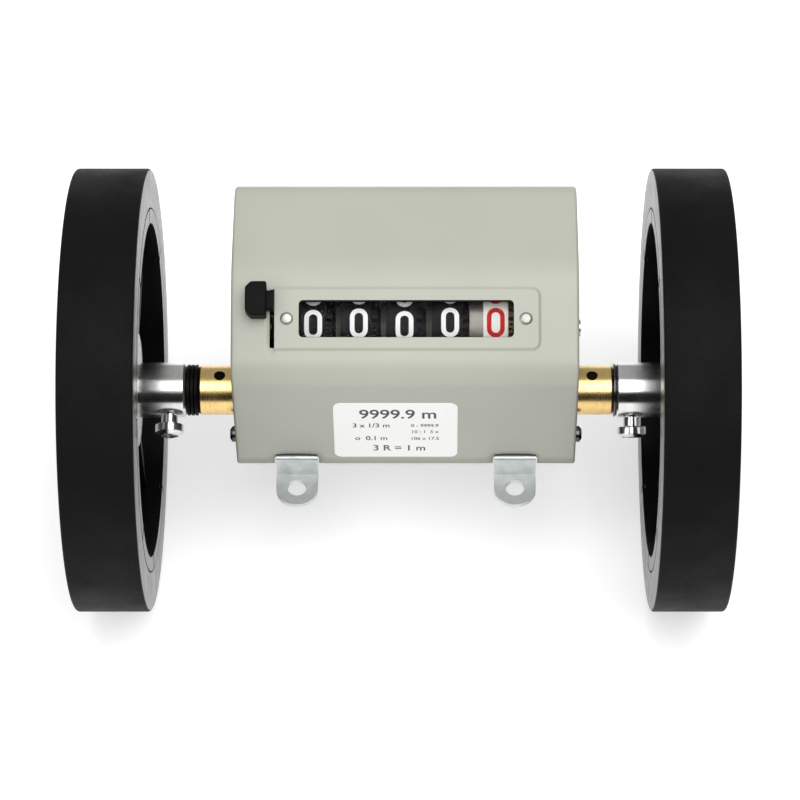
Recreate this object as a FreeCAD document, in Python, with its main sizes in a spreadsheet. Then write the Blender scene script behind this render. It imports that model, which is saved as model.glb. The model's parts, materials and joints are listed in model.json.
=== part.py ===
import FreeCAD, Part
import math
import os

import Sketcher

# Cable length counter: a geared drum counter in a sheet-metal case, driven by an axle
# with a rubber-tyred measuring wheel at each end.
#
# Frame: millimetres. The origin is on the axle's axis, midway between the wheels.
# +X runs along the axle to the right, +Y to the back and +Z up. The front is at -Y.

V = FreeCAD.Vector

# Driving dimensions, in millimetres, degrees or counts. Each one is written once here.
DIMENSIONS = {
    # measuring wheels: the tread is a third of a metre round, so three turns are a metre
    "tread_radius": 53.05, "wheel_width": 17.5, "tyre_thickness": 9.65,
    "rim_thickness": 3.4, "tyre_chamfer": 0.6, "web_recess": 6.2, "web_thickness": 3.5,
    "rib_count": 8, "rib_thickness": 2.0, "rib_set_back": 4.0, "rim_notch_width": 1.1,
    "rim_notch_depth": 0.7,
    # hubs
    "sleeve_radius": 6.65, "sleeve_length": 8.45, "sleeve_chamfer": 0.6,
    "flange_radius": 13.5, "flange_thickness": 3.0, "spigot_radius": 8.0,
    "hub_screw_circle": 10.8, "hub_screw_radius": 1.5, "hub_screw_head_radius": 2.6,
    "hub_screw_head_height": 2.0, "hub_screw_count": 3,
    "clamp_screw_set_back": 4.0, "clamp_screw_radius": 2.0, "clamp_screw_head_radius": 3.4,
    "clamp_screw_head_height": 2.7, "clamp_screw_reach": 8.7, "clamp_screw_head_dome": 0.8,
    "right_clamp_angle": -143.5, "left_clamp_angle": -158.5,
    # axle and what runs on it
    "axle_radius": 3.0, "axle_overhang": 1.0, "axle_chamfer": 0.4, "running_gap": 0.05,
    "press_gap": 0.02, "end_play": 0.1, "spacer_width": 2.8, "spacer_radius": 6.1,
    "washer_thickness": 0.4, "washer_radius": 6.4,
    "bush_radius": 5.9, "bush_reach": 9.0, "bush_chamfer": 0.5, "bush_thread_radius": 4.8,
    "bush_tail": 1.0, "oil_hole_radius": 1.35, "oil_hole_set_back": 3.9,
    "nut_across_flats": 13.0, "nut_thickness": 2.5,
    "collar_radius": 5.2, "collar_width": 2.4, "collar_gap": 0.2,
    # case
    "case_width": 81.0, "case_front": 14.0, "case_back": 36.0, "case_top": 36.8,
    "case_bottom": 10.6, "sheet": 0.8, "side_edge_radius": 0.7, "front_bend_radius": 8.0,
    "brow_bend_radius": 17.0, "back_bend_radius": 6.0, "cover_gap": 0.1,
    "slot_side_gap": 0.3,
    "display_depth": 15.95, "display_tilt": 30.0, "panel_height": 13.7, "panel_rise": 0.5,
    "panel_radius": 1.6, "panel_start": 30.9, "panel_end": 31.0,
    "window_width": 50.0, "window_height": 8.7, "window_shift": 0.3, "window_radius": 1.0,
    "lens_thickness": 0.8, "lens_margin": 1.2, "lens_gap": 0.1, "rivet_spacing": 55.6,
    "rivet_radius": 0.75, "rivet_head_radius": 1.35, "rivet_head_height": 0.45,
    "rivet_tail": 0.3,
    "label_width": 30.3, "label_height": 21.5, "label_shift": -2.35, "label_centre_z": 1.9,
    "label_thickness": 0.15, "label_radius": 1.8,
    # chassis
    "cheek_thickness": 1.2, "cheek_clearance": 0.5, "base_thickness": 1.2,
    "base_rise": 1.0, "foot_spacing": 52.3, "foot_width": 10.0, "foot_proud": 0.3,
    "foot_drop": 5.2, "foot_hole_radius": 2.25, "foot_hole_reach": 3.9, "foot_end_radius": 4.9,
    "foot_bend_radius": 1.0, "notch_gap": 0.3,
    "cover_screw_radius": 1.25, "cover_screw_head_radius": 1.95,
    "cover_screw_head_height": 1.5, "cover_screw_dome": 0.6, "cover_screw_front": 9.5,
    "cover_screw_back": 31.5, "cover_screw_drop": 4.8, "cover_screw_length": 5.0,
    "tie_radius": 2.2, "tie_end_radius": 1.3, "tie_rear_y": 29.0, "tie_rear_z": 28.5,
    "tie_front_y": -8.5, "tie_front_z": 5.5,
    # drive gears
    "gear_module": 0.75, "pinion_teeth": 12, "gear_teeth": 36, "flank_angle": 20.0,
    "backlash_share": 0.25, "gear_addendum": 0.88, "gear_width": 2.8, "gear_web_thickness": 1.4,
    "gear_rim": 1.5, "pinion_hub_radius": 5.0, "pinion_hub_length": 5.2,
    "pinion_pin_radius": 0.8, "drum_lean": 18.5,
    # number drums
    "drum_pitch": 10.65, "last_drum_offset": 21.15, "drum_radius": 12.75,
    "band_width": 5.8, "disc_radius": 12.4, "disc_width": 1.4, "last_disc_width": 3.2,
    "ring_width": 1.3, "ring_wall": 0.7, "drum_hub_radius": 4.6, "drum_collar_radius": 3.4,
    "drum_wall": 1.2, "cam_width": 1.2, "cam_large_radius": 6.2, "cam_small_radius": 3.9,
    "drum_play": 0.15, "drum_shaft_radius": 2.0, "drum_shaft_overhang": 0.9,
    "drum_spacer_radius": 2.6, "carry_notch_width": 1.6, "carry_notch_depth": 2.3,
    "carry_notch_step": 24.0,
    # carry pinions
    "carry_module": 1.13, "ring_teeth": 20, "carry_teeth": 8, "carry_flank_angle": 10.0,
    "carry_backlash_share": 0.28, "carry_addendum": 0.85, "carry_dedendum": 1.2,
    "carry_face_gap": 0.25, "carry_hub_radius": 2.2, "carry_shaft_radius": 1.2,
    "carry_angle": -20.0,
    # reset lever
    "reset_reach": 16.2, "reset_shaft_radius": 1.5, "reset_eye_radius": 3.0,
    "lever_thickness": 0.8, "lever_width": 4.0, "reset_swing": 13.0, "reset_slot_width": 1.1,
    "lever_bulge": 6.8, "cap_length": 8.1, "cap_width": 4.9, "cap_height": 4.2,
    "cap_gap": 0.6, "cap_edge": 1.2, "tab_height": 2.2, "finger_thickness": 0.7,
    "finger_reach": 12.0, "finger_lean": 32.5, "finger_width": 2.4,
    "spring_coil_radius": 2.5, "spring_wire_radius": 0.4, "spring_turns": 4,
    "spring_pitch": 1.1, "spring_leg": 7.0,
}

DOC = FreeCAD.newDocument("length_counter")
SHEET = DOC.addObject("Spreadsheet::Sheet", "dims")


def fill_sheet():
    """Write each driving dimension as a plain number with its name as alias."""
    for row, (name, number) in enumerate(DIMENSIONS.items(), start=1):
        SHEET.set(f"A{row}", name)
        SHEET.set(f"B{row}", str(number))
        SHEET.setAlias(f"B{row}", name)
    DOC.recompute()


# Places that follow from the driving dimensions, as expressions on the sheet.

# along the axle
SLEEVE_START = ("((dims.case_width + 2 * dims.bush_reach + dims.spacer_width"
                " + dims.washer_thickness + 4 * dims.end_play) / 2)")
CASE_LEFT = f"(dims.spacer_width + 2 * dims.end_play + dims.bush_reach - {SLEEVE_START})"
CASE_RIGHT = f"({CASE_LEFT} + dims.case_width)"
CASE_MIDDLE = f"({CASE_LEFT} + dims.case_width / 2)"
BUSH_END = {-1: f"({CASE_LEFT} - dims.bush_reach)", 1: f"({CASE_RIGHT} + dims.bush_reach)"}
TYRE_SEAT = "(dims.tread_radius - dims.tyre_thickness)"
RIM_INNER = f"({TYRE_SEAT} - dims.rim_thickness)"
WHEEL_INNER = f"({SLEEVE_START} + dims.sleeve_length)"
WHEEL_OUTER = f"({WHEEL_INNER} + dims.wheel_width)"
WEB_INNER = f"({WHEEL_INNER} + dims.web_recess)"
WEB_OUTER = f"({WEB_INNER} + dims.web_thickness)"
CASE_SIDE = {-1: CASE_LEFT, 1: CASE_RIGHT}
CHEEK_OUTER = {-1: f"({CASE_LEFT} + dims.sheet + dims.cover_gap)",
               1: f"({CASE_RIGHT} - dims.sheet - dims.cover_gap)"}
CHEEK_INNER = {-1: f"({CHEEK_OUTER[-1]} + dims.cheek_thickness)",
               1: f"({CHEEK_OUTER[1]} - dims.cheek_thickness)"}
BUSH_TAIL = {side: f"({CHEEK_INNER[side]} - {side} * (dims.nut_thickness + dims.bush_tail))"
             for side in (-1, 1)}

# across the axle
GEAR_CENTRES = "(dims.gear_module * (dims.pinion_teeth + dims.gear_teeth) / 2)"
DRUM_Y = f"({GEAR_CENTRES} * sin(dims.drum_lean))"
DRUM_Z = f"({GEAR_CENTRES} * cos(dims.drum_lean))"
DISPLAY_Y = f"({DRUM_Y} - dims.display_depth * sin(dims.display_tilt))"
DISPLAY_Z = f"({DRUM_Z} + dims.display_depth * cos(dims.display_tilt))"
CARRY_CENTRES = "(dims.carry_module * (dims.ring_teeth + dims.carry_teeth) / 2)"
CARRY_Y = f"({DRUM_Y} + {CARRY_CENTRES} * cos(dims.carry_angle))"
CARRY_Z = f"({DRUM_Z} + {CARRY_CENTRES} * sin(dims.carry_angle))"
RESET_Y = f"({DRUM_Y} + dims.reset_reach * sin(dims.display_tilt))"
RESET_Z = f"({DRUM_Z} - dims.reset_reach * cos(dims.display_tilt))"
LEVER_RADIUS = "(dims.reset_reach + dims.display_depth)"
LEVER_X = f"({CASE_MIDDLE} - dims.panel_start)"
BASE_BOTTOM = "(dims.base_rise - dims.case_bottom)"
BASE_TOP = f"({BASE_BOTTOM} + dims.base_thickness)"
FOOT_TOP = f"({BASE_BOTTOM} - dims.foot_drop)"
FOOT_BOTTOM = f"({FOOT_TOP} - dims.base_thickness)"

# along the number drums
LAST_DRUM_X = f"({CASE_MIDDLE} + dims.last_drum_offset)"
GEAR_LEFT = f"({LAST_DRUM_X} + dims.band_width / 2)"
GEAR_RIGHT = f"({GEAR_LEFT} + dims.gear_width)"
DRUM_NAMES = ["thousands", "hundreds", "tens", "metres", "tenths"]


def value(expression):
    """Return the number that an expression on the sheet stands for."""
    return float(SHEET.evalExpression(expression))


def drum_x(index):
    """Place of the middle of a drum's number band, counted from the left."""
    return f"({LAST_DRUM_X} - {len(DRUM_NAMES) - 1 - index} * dims.drum_pitch)"


# ---------------------------------------------------------------- modelling helpers

def new_body(label):
    body = DOC.addObject("PartDesign::Body", label)
    body.Label = label
    return body


def origin_item(body, role):
    return next(item for item in body.Origin.OriginFeatures if item.Role == role)


def new_sketch(body, plane, offset="0", name="outline"):
    """A sketch on one of the body's own origin planes, moved along that plane's normal."""
    sketch = body.newObject("Sketcher::SketchObject", name)
    sketch.AttachmentSupport = [(origin_item(body, plane), "")]
    sketch.MapMode = "FlatFace"
    sketch.setExpression("AttachmentOffset.Base.z", offset)
    return sketch


def display_sketch(body, height="0", name="display_outline"):
    """A sketch on the sloping display face, at a height above its outer surface.

    Its x runs along the case and its y up the slope, from the point over the drum shaft.
    """
    sketch = body.newObject("Sketcher::SketchObject", name)
    sketch.AttachmentSupport = [(origin_item(body, "XY_Plane"), "")]
    sketch.MapMode = "FlatFace"
    sketch.AttachmentOffset = FreeCAD.Placement(V(0, 0, 0), FreeCAD.Rotation(V(1, 0, 0), 10))
    sketch.setExpression("AttachmentOffset.Base.y",
                         f"{DISPLAY_Y} - ({height}) * sin(dims.display_tilt)")
    sketch.setExpression("AttachmentOffset.Base.z",
                         f"{DISPLAY_Z} + ({height}) * cos(dims.display_tilt)")
    sketch.setExpression("AttachmentOffset.Rotation.Angle", "dims.display_tilt")
    return sketch


def pin_point(sketch, geometry, position, x, y):
    """Hold a point of the sketch at a place given by two expressions."""
    for kind, expression in (("DistanceX", x), ("DistanceY", y)):
        number = value(expression)
        index = sketch.addConstraint(
            Sketcher.Constraint(kind, -1, 1, geometry, position, number))
        sketch.setExpression(f"Constraints[{index}]", expression)


def polygon(sketch, corners):
    """A closed outline of straight lines through corners given as pairs of expressions."""
    points = [V(value(x), value(y), 0) for x, y in corners]
    first = sketch.GeometryCount
    count = len(points)
    for index in range(count):
        sketch.addGeometry(Part.LineSegment(points[index], points[(index + 1) % count]), False)
    for index in range(count):
        sketch.addConstraint(Sketcher.Constraint(
            "Coincident", first + index, 2, first + (index + 1) % count, 1))
    for index, (x, y) in enumerate(corners):
        pin_point(sketch, first + index, 1, x, y)


def rectangle(sketch, left, right, low, high):
    polygon(sketch, [(left, low), (right, low), (right, high), (left, high)])


def circle(sketch, x, y, radius):
    index = sketch.addGeometry(
        Part.Circle(V(value(x), value(y), 0), V(0, 0, 1), value(radius)), False)
    pin_point(sketch, index, 3, x, y)
    constraint = sketch.addConstraint(Sketcher.Constraint("Radius", index, value(radius)))
    sketch.setExpression(f"Constraints[{constraint}]", radius)


def pad(body, sketch, length, name="pad"):
    feature = body.newObject("PartDesign::Pad", name)
    feature.Profile = sketch
    feature.setExpression("Length", length)
    return feature


def pocket(body, sketch, length, along_normal=False, name="pocket"):
    """Cut the sketch's outline to a depth, against its normal or along it."""
    feature = body.newObject("PartDesign::Pocket", name)
    feature.Profile = sketch
    feature.Reversed = along_normal
    feature.setExpression("Length", length)
    return feature


def pocket_through(body, sketch, name="pocket"):
    feature = body.newObject("PartDesign::Pocket", name)
    feature.Profile = sketch
    feature.Type = "ThroughAll"
    feature.Midplane = True
    return feature


def polar(body, feature, count, name="ring_pattern"):
    """Repeat a feature evenly around the body's X axis."""
    pattern = body.newObject("PartDesign::PolarPattern", name)
    pattern.Originals = [feature]
    pattern.Axis = (origin_item(body, "X_Axis"), [""])
    pattern.Angle = 360
    pattern.setExpression("Occurrences", count)
    body.Tip = pattern
    return pattern


def edges_along(shape, direction, points, reach=0.05):
    """Names of the straight edges along a direction that pass through any of the points."""
    names = []
    for index, edge in enumerate(shape.Edges, start=1):
        if not isinstance(edge.Curve, Part.Line):
            continue
        if edge.Curve.Direction.cross(direction).Length > 1e-6:
            continue
        start = edge.Vertexes[0].Point
        for point in points:
            if (start - point).cross(direction).Length < reach:
                names.append(f"Edge{index}")
                break
    return names


def round_edges(body, names, radius, name="rounding"):
    """Fillet named edges of the body's last feature."""
    feature = body.newObject("PartDesign::Fillet", name)
    feature.Base = (body.Tip if feature.BaseFeature is None else feature.BaseFeature, names)
    feature.setExpression("Radius", radius)
    DOC.recompute()
    return feature


def turned(label, stations):
    """A piece turned about the X axis: its half outline as (x, radius) expressions."""
    body = new_body(label)
    sketch = new_sketch(body, "XY_Plane", name="half_outline")
    polygon(sketch, stations)
    feature = body.newObject("PartDesign::Revolution", "turning")
    feature.Profile = sketch
    feature.ReferenceAxis = (sketch, ["H_Axis"])
    feature.Angle = 360
    DOC.recompute()
    return body


def ring_stations(start, end, inner, outer):
    return [(start, inner), (end, inner), (end, outer), (start, outer)]


def place(body, x="0", y="0", z="0", turn=None):
    """Move a piece to a place given by expressions and turn it about the X axis."""
    body.Placement = FreeCAD.Placement(V(0, 0, 0), FreeCAD.Rotation(V(1, 0, 0), 10))
    body.setExpression(".Placement.Base.x", x)
    body.setExpression(".Placement.Base.y", y)
    body.setExpression(".Placement.Base.z", z)
    body.setExpression(".Placement.Rotation.Angle", turn or "0")
    return body


def group(label, members):
    """Several separate solids that are kept as one node."""
    compound = DOC.addObject("Part::Compound", label)
    compound.Label = label
    compound.Links = members
    return compound


def cut_teeth(body, module, teeth, flank, backlash, addendum, dedendum, start, width):
    """Cut tooth spaces with straight flanks around the X axis, one of them along +Y."""
    DOC.recompute()
    space = f"({module} * pi / 4 * (1 + {backlash}))"
    slope = f"tan({flank} + 180 / {teeth})"
    root = f"({module} * ({teeth} / 2 - {dedendum}))"
    tip = f"({module} * ({teeth} / 2 + {addendum} + 0.5))"
    root_half = f"({space} - {module} * {dedendum} * {slope})"
    tip_half = f"({space} + {module} * ({addendum} + 0.5) * {slope})"
    sketch = new_sketch(body, "YZ_Plane", start, "tooth_space")
    polygon(sketch, [(root, f"-{root_half}"), (tip, f"-{tip_half}"), (tip, tip_half),
                     (root, root_half)])
    cut = pocket(body, sketch, width, along_normal=True, name="tooth_gap")
    DOC.recompute()
    return polar(body, cut, teeth, "tooth_gaps")


def cross_recess(body, station, arm, width, depth, along_normal):
    """Cut a cross for a screwdriver into the end face at a station on the X axis."""
    DOC.recompute()
    half = f"({width} / 2)"
    sketch = new_sketch(body, "YZ_Plane", station, "driver_cross")
    polygon(sketch, [(arm, f"-{half}"), (arm, half), (half, half), (half, arm),
                     (f"-{half}", arm), (f"-{half}", half), (f"-{arm}", half),
                     (f"-{arm}", f"-{half}"), (f"-{half}", f"-{half}"), (f"-{half}", f"-{arm}"),
                     (half, f"-{arm}"), (half, f"-{half}")])
    pocket(body, sketch, depth, along_normal, "driver_slot")
    DOC.recompute()
    return body


# ---------------------------------------------------------------- case outline

def case_outline(inset, bottom):
    """Corners of the case's section, every wall moved inwards by the same amount."""
    depth = f"(dims.display_depth - {inset})"
    front = f"(dims.case_front - {inset})"
    back = f"(dims.case_back - {inset})"
    top = f"(dims.case_top - {inset})"
    bend_z = (f"({DRUM_Z} + ({depth} - sin(dims.display_tilt) * ({front} + {DRUM_Y}))"
              f" / cos(dims.display_tilt))")
    brow_y = (f"({DRUM_Y} + (cos(dims.display_tilt) * ({top} - {DRUM_Z}) - {depth})"
              f" / sin(dims.display_tilt))")
    return [(f"-{front}", bottom), (f"-{front}", bend_z), (brow_y, top), (back, top),
            (back, bottom)]


def round_case_bends(body, inset):
    """Round the three long bends of a piece that follows the case's section."""
    corners = case_outline(inset, "0")
    bends = [(corners[1], "front_bend_radius"), (corners[2], "brow_bend_radius"),
             (corners[3], "back_bend_radius")]
    for (y, z), radius in bends:
        point = V(0, value(y), value(z))
        names = edges_along(body.Shape, V(1, 0, 0), [point])
        round_edges(body, names, f"dims.{radius} - {inset}", radius)


# ---------------------------------------------------------------- case and chassis

def make_cover():
    """Sheet-metal hood, open below, with the raised display panel and its window."""
    body = new_body("cover")
    sketch = new_sketch(body, "YZ_Plane", CASE_LEFT)
    polygon(sketch, case_outline("0", "-dims.case_bottom"))
    pad(body, sketch, "dims.case_width")
    DOC.recompute()
    round_case_bends(body, "0")
    hollow_out(body)
    side_edges = []
    for index, edge in enumerate(body.Shape.Edges, start=1):
        box = edge.BoundBox
        on_wall = min(abs(box.XMin - value(wall)) for wall in (CASE_LEFT, CASE_RIGHT)) < 1e-6
        if on_wall and box.XLength < 1e-6 and box.ZMax > value("-dims.case_bottom") + 0.1:
            side_edges.append(f"Edge{index}")
    round_edges(body, side_edges, "dims.side_edge_radius", "side_rounding")
    make_display_panel(body)
    make_cover_cut_outs(body)
    return body


def hollow_out(body):
    """Leave walls of one sheet's thickness, open at the bottom."""
    base = body.Tip
    low = value("-dims.case_bottom")
    names = [f"Face{index}" for index, face in enumerate(base.Shape.Faces, start=1)
             if face.BoundBox.ZMax < low + 0.01]
    skin = body.newObject("PartDesign::Thickness", "hollow")
    skin.Base = (base, names)
    skin.Reversed = True
    skin.Join = "Intersection"
    skin.setExpression("Value", "dims.sheet")
    DOC.recompute()


PANEL_LEFT = f"({CASE_MIDDLE} - dims.panel_start)"
PANEL_RIGHT = f"({CASE_MIDDLE} + dims.panel_end)"
WINDOW_MIDDLE = f"({CASE_MIDDLE} + dims.window_shift)"


def make_display_panel(body):
    """Raise the panel, hollow it from behind, and cut the window and rivet holes."""
    panel = display_sketch(body, "-dims.sheet / 2", "panel_outline")
    rectangle(panel, PANEL_LEFT, PANEL_RIGHT, "-dims.panel_height / 2", "dims.panel_height / 2")
    pad(body, panel, "dims.sheet / 2 + dims.panel_rise", "panel")
    DOC.recompute()
    tilt = math.radians(value("dims.display_tilt"))
    normal = V(0, -math.sin(tilt), math.cos(tilt))
    upslope = V(0, math.cos(tilt), math.sin(tilt))
    foot = V(0, value(DISPLAY_Y), value(DISPLAY_Z))
    half = value("dims.panel_height / 2")
    corners = [foot + upslope * rise + V(value(PANEL_RIGHT), 0, 0) for rise in (-half, half)]
    round_edges(body, edges_along(body.Shape, normal, corners), "dims.panel_radius",
                "panel_corners")

    back = display_sketch(body, "-dims.sheet - dims.lens_gap", "panel_hollow")
    wall = "dims.sheet"
    rectangle(back, f"{PANEL_LEFT} + 2 * {wall}", f"{PANEL_RIGHT} - {wall}",
              f"{wall} - dims.panel_height / 2", f"dims.panel_height / 2 - {wall}")
    pocket(body, back, "dims.panel_rise + dims.lens_gap", True, "panel_back")

    window = display_sketch(body, "dims.panel_rise + 1", "window_outline")
    rectangle(window, f"{WINDOW_MIDDLE} - dims.window_width / 2",
              f"{WINDOW_MIDDLE} + dims.window_width / 2",
              "-dims.window_height / 2", "dims.window_height / 2")
    pocket(body, window, "dims.sheet + dims.panel_rise + 2", False, "window")
    DOC.recompute()
    window_corners = []
    for x_side in (-1, 1):
        for rise in (-1, 1):
            along = value(f"{WINDOW_MIDDLE} + {x_side} * dims.window_width / 2")
            up = value(f"{rise} * dims.window_height / 2")
            window_corners.append(foot + upslope * up + V(along, 0, 0))
    round_edges(body, edges_along(body.Shape, normal, window_corners), "dims.window_radius",
                "window_corners")

    holes = display_sketch(body, "dims.panel_rise + 1", "rivet_holes")
    for side in (-1, 1):
        circle(holes, f"{WINDOW_MIDDLE} + {side} * dims.rivet_spacing / 2", "0",
               "dims.rivet_radius + dims.press_gap")
    pocket(body, holes, "dims.sheet + dims.panel_rise + 2", False, "rivet_drilling")

    slot = display_sketch(body, "dims.panel_rise + 1", "reset_slot")
    rectangle(slot, f"{LEVER_X} - dims.reset_slot_width / 2",
              f"{LEVER_X} + dims.reset_slot_width / 2",
              "-dims.panel_height / 2", "dims.panel_height / 2")
    pocket(body, slot, "dims.sheet + dims.panel_rise + 2", False, "reset_slot_cut")
    DOC.recompute()


def make_cover_cut_outs(body):
    """Cut the slots for the bushes, the foot notches and the holes in the side walls."""
    arches = new_sketch(body, "YZ_Plane", "0", "bush_arches")
    circle(arches, "0", "0", "dims.bush_radius + dims.slot_side_gap")
    pocket_through(body, arches, "bush_arch")
    slots = new_sketch(body, "YZ_Plane", "0", "bush_slots")
    rectangle(slots, "-dims.bush_radius - dims.slot_side_gap",
              "dims.bush_radius + dims.slot_side_gap", "-dims.case_bottom - 1", "0")
    pocket_through(body, slots, "bush_slot")

    notches = new_sketch(body, "XZ_Plane", "0", "foot_notches")
    for side in (-1, 1):
        middle = f"{CASE_MIDDLE} + {side} * dims.foot_spacing / 2"
        half = "(dims.foot_width / 2 + dims.notch_gap)"
        rectangle(notches, f"{middle} - {half}", f"{middle} + {half}",
                  "-dims.case_bottom - 1", f"{BASE_TOP} + dims.notch_gap")
    pocket_through(body, notches, "foot_notch")

    screws = new_sketch(body, "YZ_Plane", "0", "cover_screw_holes")
    for y in ("-dims.cover_screw_front", "dims.cover_screw_back"):
        circle(screws, y, "-dims.cover_screw_drop", "dims.cover_screw_radius + dims.press_gap")
    pocket_through(body, screws, "cover_screw_hole")
    shaft = new_sketch(body, "YZ_Plane", f"{CASE_RIGHT} + 1", "drum_shaft_hole")
    circle(shaft, DRUM_Y, DRUM_Z, "dims.drum_shaft_radius + dims.slot_side_gap")
    pocket(body, shaft, "dims.sheet + 2", False, "drum_shaft_clearance")
    DOC.recompute()


def foot_outline(side):
    """Section of a foot: through the notch, down beside the wall and outwards."""
    wall = "dims.case_front" if side < 0 else "dims.case_back"
    sign = "-" if side < 0 else ""
    root = f"{sign}({wall} - 3)"
    outer = f"{sign}({wall} + dims.foot_proud)"
    inner = f"{sign}({wall} + dims.foot_proud - dims.base_thickness)"
    tip = (f"{sign}({wall} + dims.foot_proud + dims.foot_hole_reach"
           f" + dims.foot_end_radius)")
    return [(root, BASE_TOP), (outer, BASE_TOP), (outer, FOOT_TOP), (tip, FOOT_TOP),
            (tip, FOOT_BOTTOM), (inner, FOOT_BOTTOM), (inner, BASE_BOTTOM),
            (root, BASE_BOTTOM)]


def make_chassis():
    """Bent sheet frame: a base with four feet and a cheek at each end."""
    body = new_body("chassis")
    wall = "(dims.sheet + dims.cover_gap)"
    base = new_sketch(body, "XY_Plane", BASE_BOTTOM, "base_outline")
    rectangle(base, CHEEK_OUTER[-1], CHEEK_OUTER[1], f"{wall} - dims.case_front",
              f"dims.case_back - {wall}")
    pad(body, base, "dims.base_thickness", "base")
    for side in (-1, 1):
        start = CHEEK_OUTER[-1] if side < 0 else CHEEK_INNER[1]
        cheek = new_sketch(body, "YZ_Plane", start, "cheek_outline")
        inset = "(dims.sheet + dims.cheek_clearance)"
        polygon(cheek, case_outline(inset, BASE_BOTTOM))
        pad(body, cheek, "dims.cheek_thickness", "cheek")
    DOC.recompute()
    round_case_bends(body, "(dims.sheet + dims.cheek_clearance)")
    for side in (-1, 1):
        for end in (-1, 1):
            start = f"{CASE_MIDDLE} + {end} * dims.foot_spacing / 2 - dims.foot_width / 2"
            foot = new_sketch(body, "YZ_Plane", start, "foot_section")
            polygon(foot, foot_outline(side))
            pad(body, foot, "dims.foot_width", "foot")
    DOC.recompute()
    round_feet(body)

    holes = new_sketch(body, "XY_Plane", FOOT_TOP, "foot_holes")
    for side, wall_place in ((-1, "dims.case_front"), (1, "dims.case_back")):
        for end in (-1, 1):
            circle(holes, f"{CASE_MIDDLE} + {end} * dims.foot_spacing / 2",
                   f"{side} * ({wall_place} + dims.foot_proud + dims.foot_hole_reach)",
                   "dims.foot_hole_radius")
    pocket(body, holes, "dims.base_thickness + 1", False, "foot_drilling")

    bores = new_sketch(body, "YZ_Plane", "0", "cheek_bores")
    circle(bores, "0", "0", "dims.bush_thread_radius + dims.press_gap")
    circle(bores, DRUM_Y, DRUM_Z, "dims.drum_shaft_radius + dims.press_gap")
    circle(bores, CARRY_Y, CARRY_Z, "dims.carry_shaft_radius + dims.press_gap")
    circle(bores, RESET_Y, RESET_Z, "dims.reset_shaft_radius + dims.running_gap")
    for y in ("-dims.cover_screw_front", "dims.cover_screw_back"):
        circle(bores, y, "-dims.cover_screw_drop", "dims.cover_screw_radius + dims.press_gap")
    for name in ("rear", "front"):
        circle(bores, f"dims.tie_{name}_y", f"dims.tie_{name}_z",
               "dims.tie_end_radius + dims.press_gap")
    pocket_through(body, bores, "cheek_drilling")
    DOC.recompute()
    return body


def round_feet(body):
    """Round the bends and the free ends of the feet."""
    bends = []
    ends = []
    for side in (-1, 1):
        outline = foot_outline(side)
        for y, z in (outline[1], outline[5]):
            bends.append(V(0, value(y), value(z)))
        for end in (-1, 1):
            for edge in (-1, 1):
                x = value(f"{CASE_MIDDLE} + {end} * dims.foot_spacing / 2"
                          f" + {edge} * dims.foot_width / 2")
                ends.append(V(x, value(outline[3][0]), 0))
    round_edges(body, edges_along(body.Shape, V(1, 0, 0), bends), "dims.foot_bend_radius",
                "foot_bends")
    round_edges(body, edges_along(body.Shape, V(0, 0, 1), ends), "dims.foot_end_radius",
                "foot_ends")


def make_tie_rods():
    """Two rods that hold the cheeks apart, riveted into them at their ends."""
    rods = []
    for name in ("rear", "front"):
        left, right = CHEEK_INNER[-1], CHEEK_INNER[1]
        outer_left, outer_right = CHEEK_OUTER[-1], CHEEK_OUTER[1]
        rod = turned(f"tie_rod_{name}", [
            (outer_left, "0"), (outer_left, "dims.tie_end_radius"),
            (left, "dims.tie_end_radius"), (left, "dims.tie_radius"),
            (right, "dims.tie_radius"), (right, "dims.tie_end_radius"),
            (outer_right, "dims.tie_end_radius"), (outer_right, "0")])
        rods.append(place(rod, y=f"dims.tie_{name}_y", z=f"dims.tie_{name}_z"))
    return group("tie_rods", rods)


def make_cover_screws():
    """Four pan-head screws that hold the hood's side walls to the cheeks."""
    screws = []
    for side in (-1, 1):
        seat = CASE_SIDE[side]
        top = f"({seat} + {side} * dims.cover_screw_head_height)"
        rim = f"({top} - {side} * dims.cover_screw_dome)"
        tip = f"({seat} - {side} * dims.cover_screw_length)"
        for row, y in enumerate(("-dims.cover_screw_front", "dims.cover_screw_back")):
            screw = turned(f"cover_screw_{side + 1}_{row}", [
                (tip, "0"), (tip, "dims.cover_screw_radius"),
                (seat, "dims.cover_screw_radius"), (seat, "dims.cover_screw_head_radius"),
                (rim, "dims.cover_screw_head_radius"),
                (top, "dims.cover_screw_head_radius * 0.6"), (top, "0")])
            cross_recess(screw, top, "dims.cover_screw_head_radius * 0.55", "0.45",
                         "dims.cover_screw_dome + 0.2", side < 0)
            screws.append(place(screw, y=y, z="-dims.cover_screw_drop"))
    return group("cover_screws", screws)


def make_window_lens():
    """Clear sheet behind the window, held by the two rivets."""
    body = new_body("window_lens")
    top = "(dims.panel_rise - dims.sheet)"
    sketch = display_sketch(body, f"{top} - dims.lens_thickness", "lens_outline")
    half = "(dims.rivet_spacing / 2 + dims.lens_margin)"
    rectangle(sketch, f"{WINDOW_MIDDLE} - {half}", f"{WINDOW_MIDDLE} + {half}",
              "-dims.window_height / 2 - dims.lens_margin",
              "dims.window_height / 2 + dims.lens_margin")
    pad(body, sketch, "dims.lens_thickness")
    holes = display_sketch(body, top, "rivet_holes")
    for side in (-1, 1):
        circle(holes, f"{WINDOW_MIDDLE} + {side} * dims.rivet_spacing / 2", "0",
               "dims.rivet_radius + dims.press_gap")
    pocket(body, holes, "dims.lens_thickness + 1", False, "rivet_drilling")
    DOC.recompute()
    return body


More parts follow.
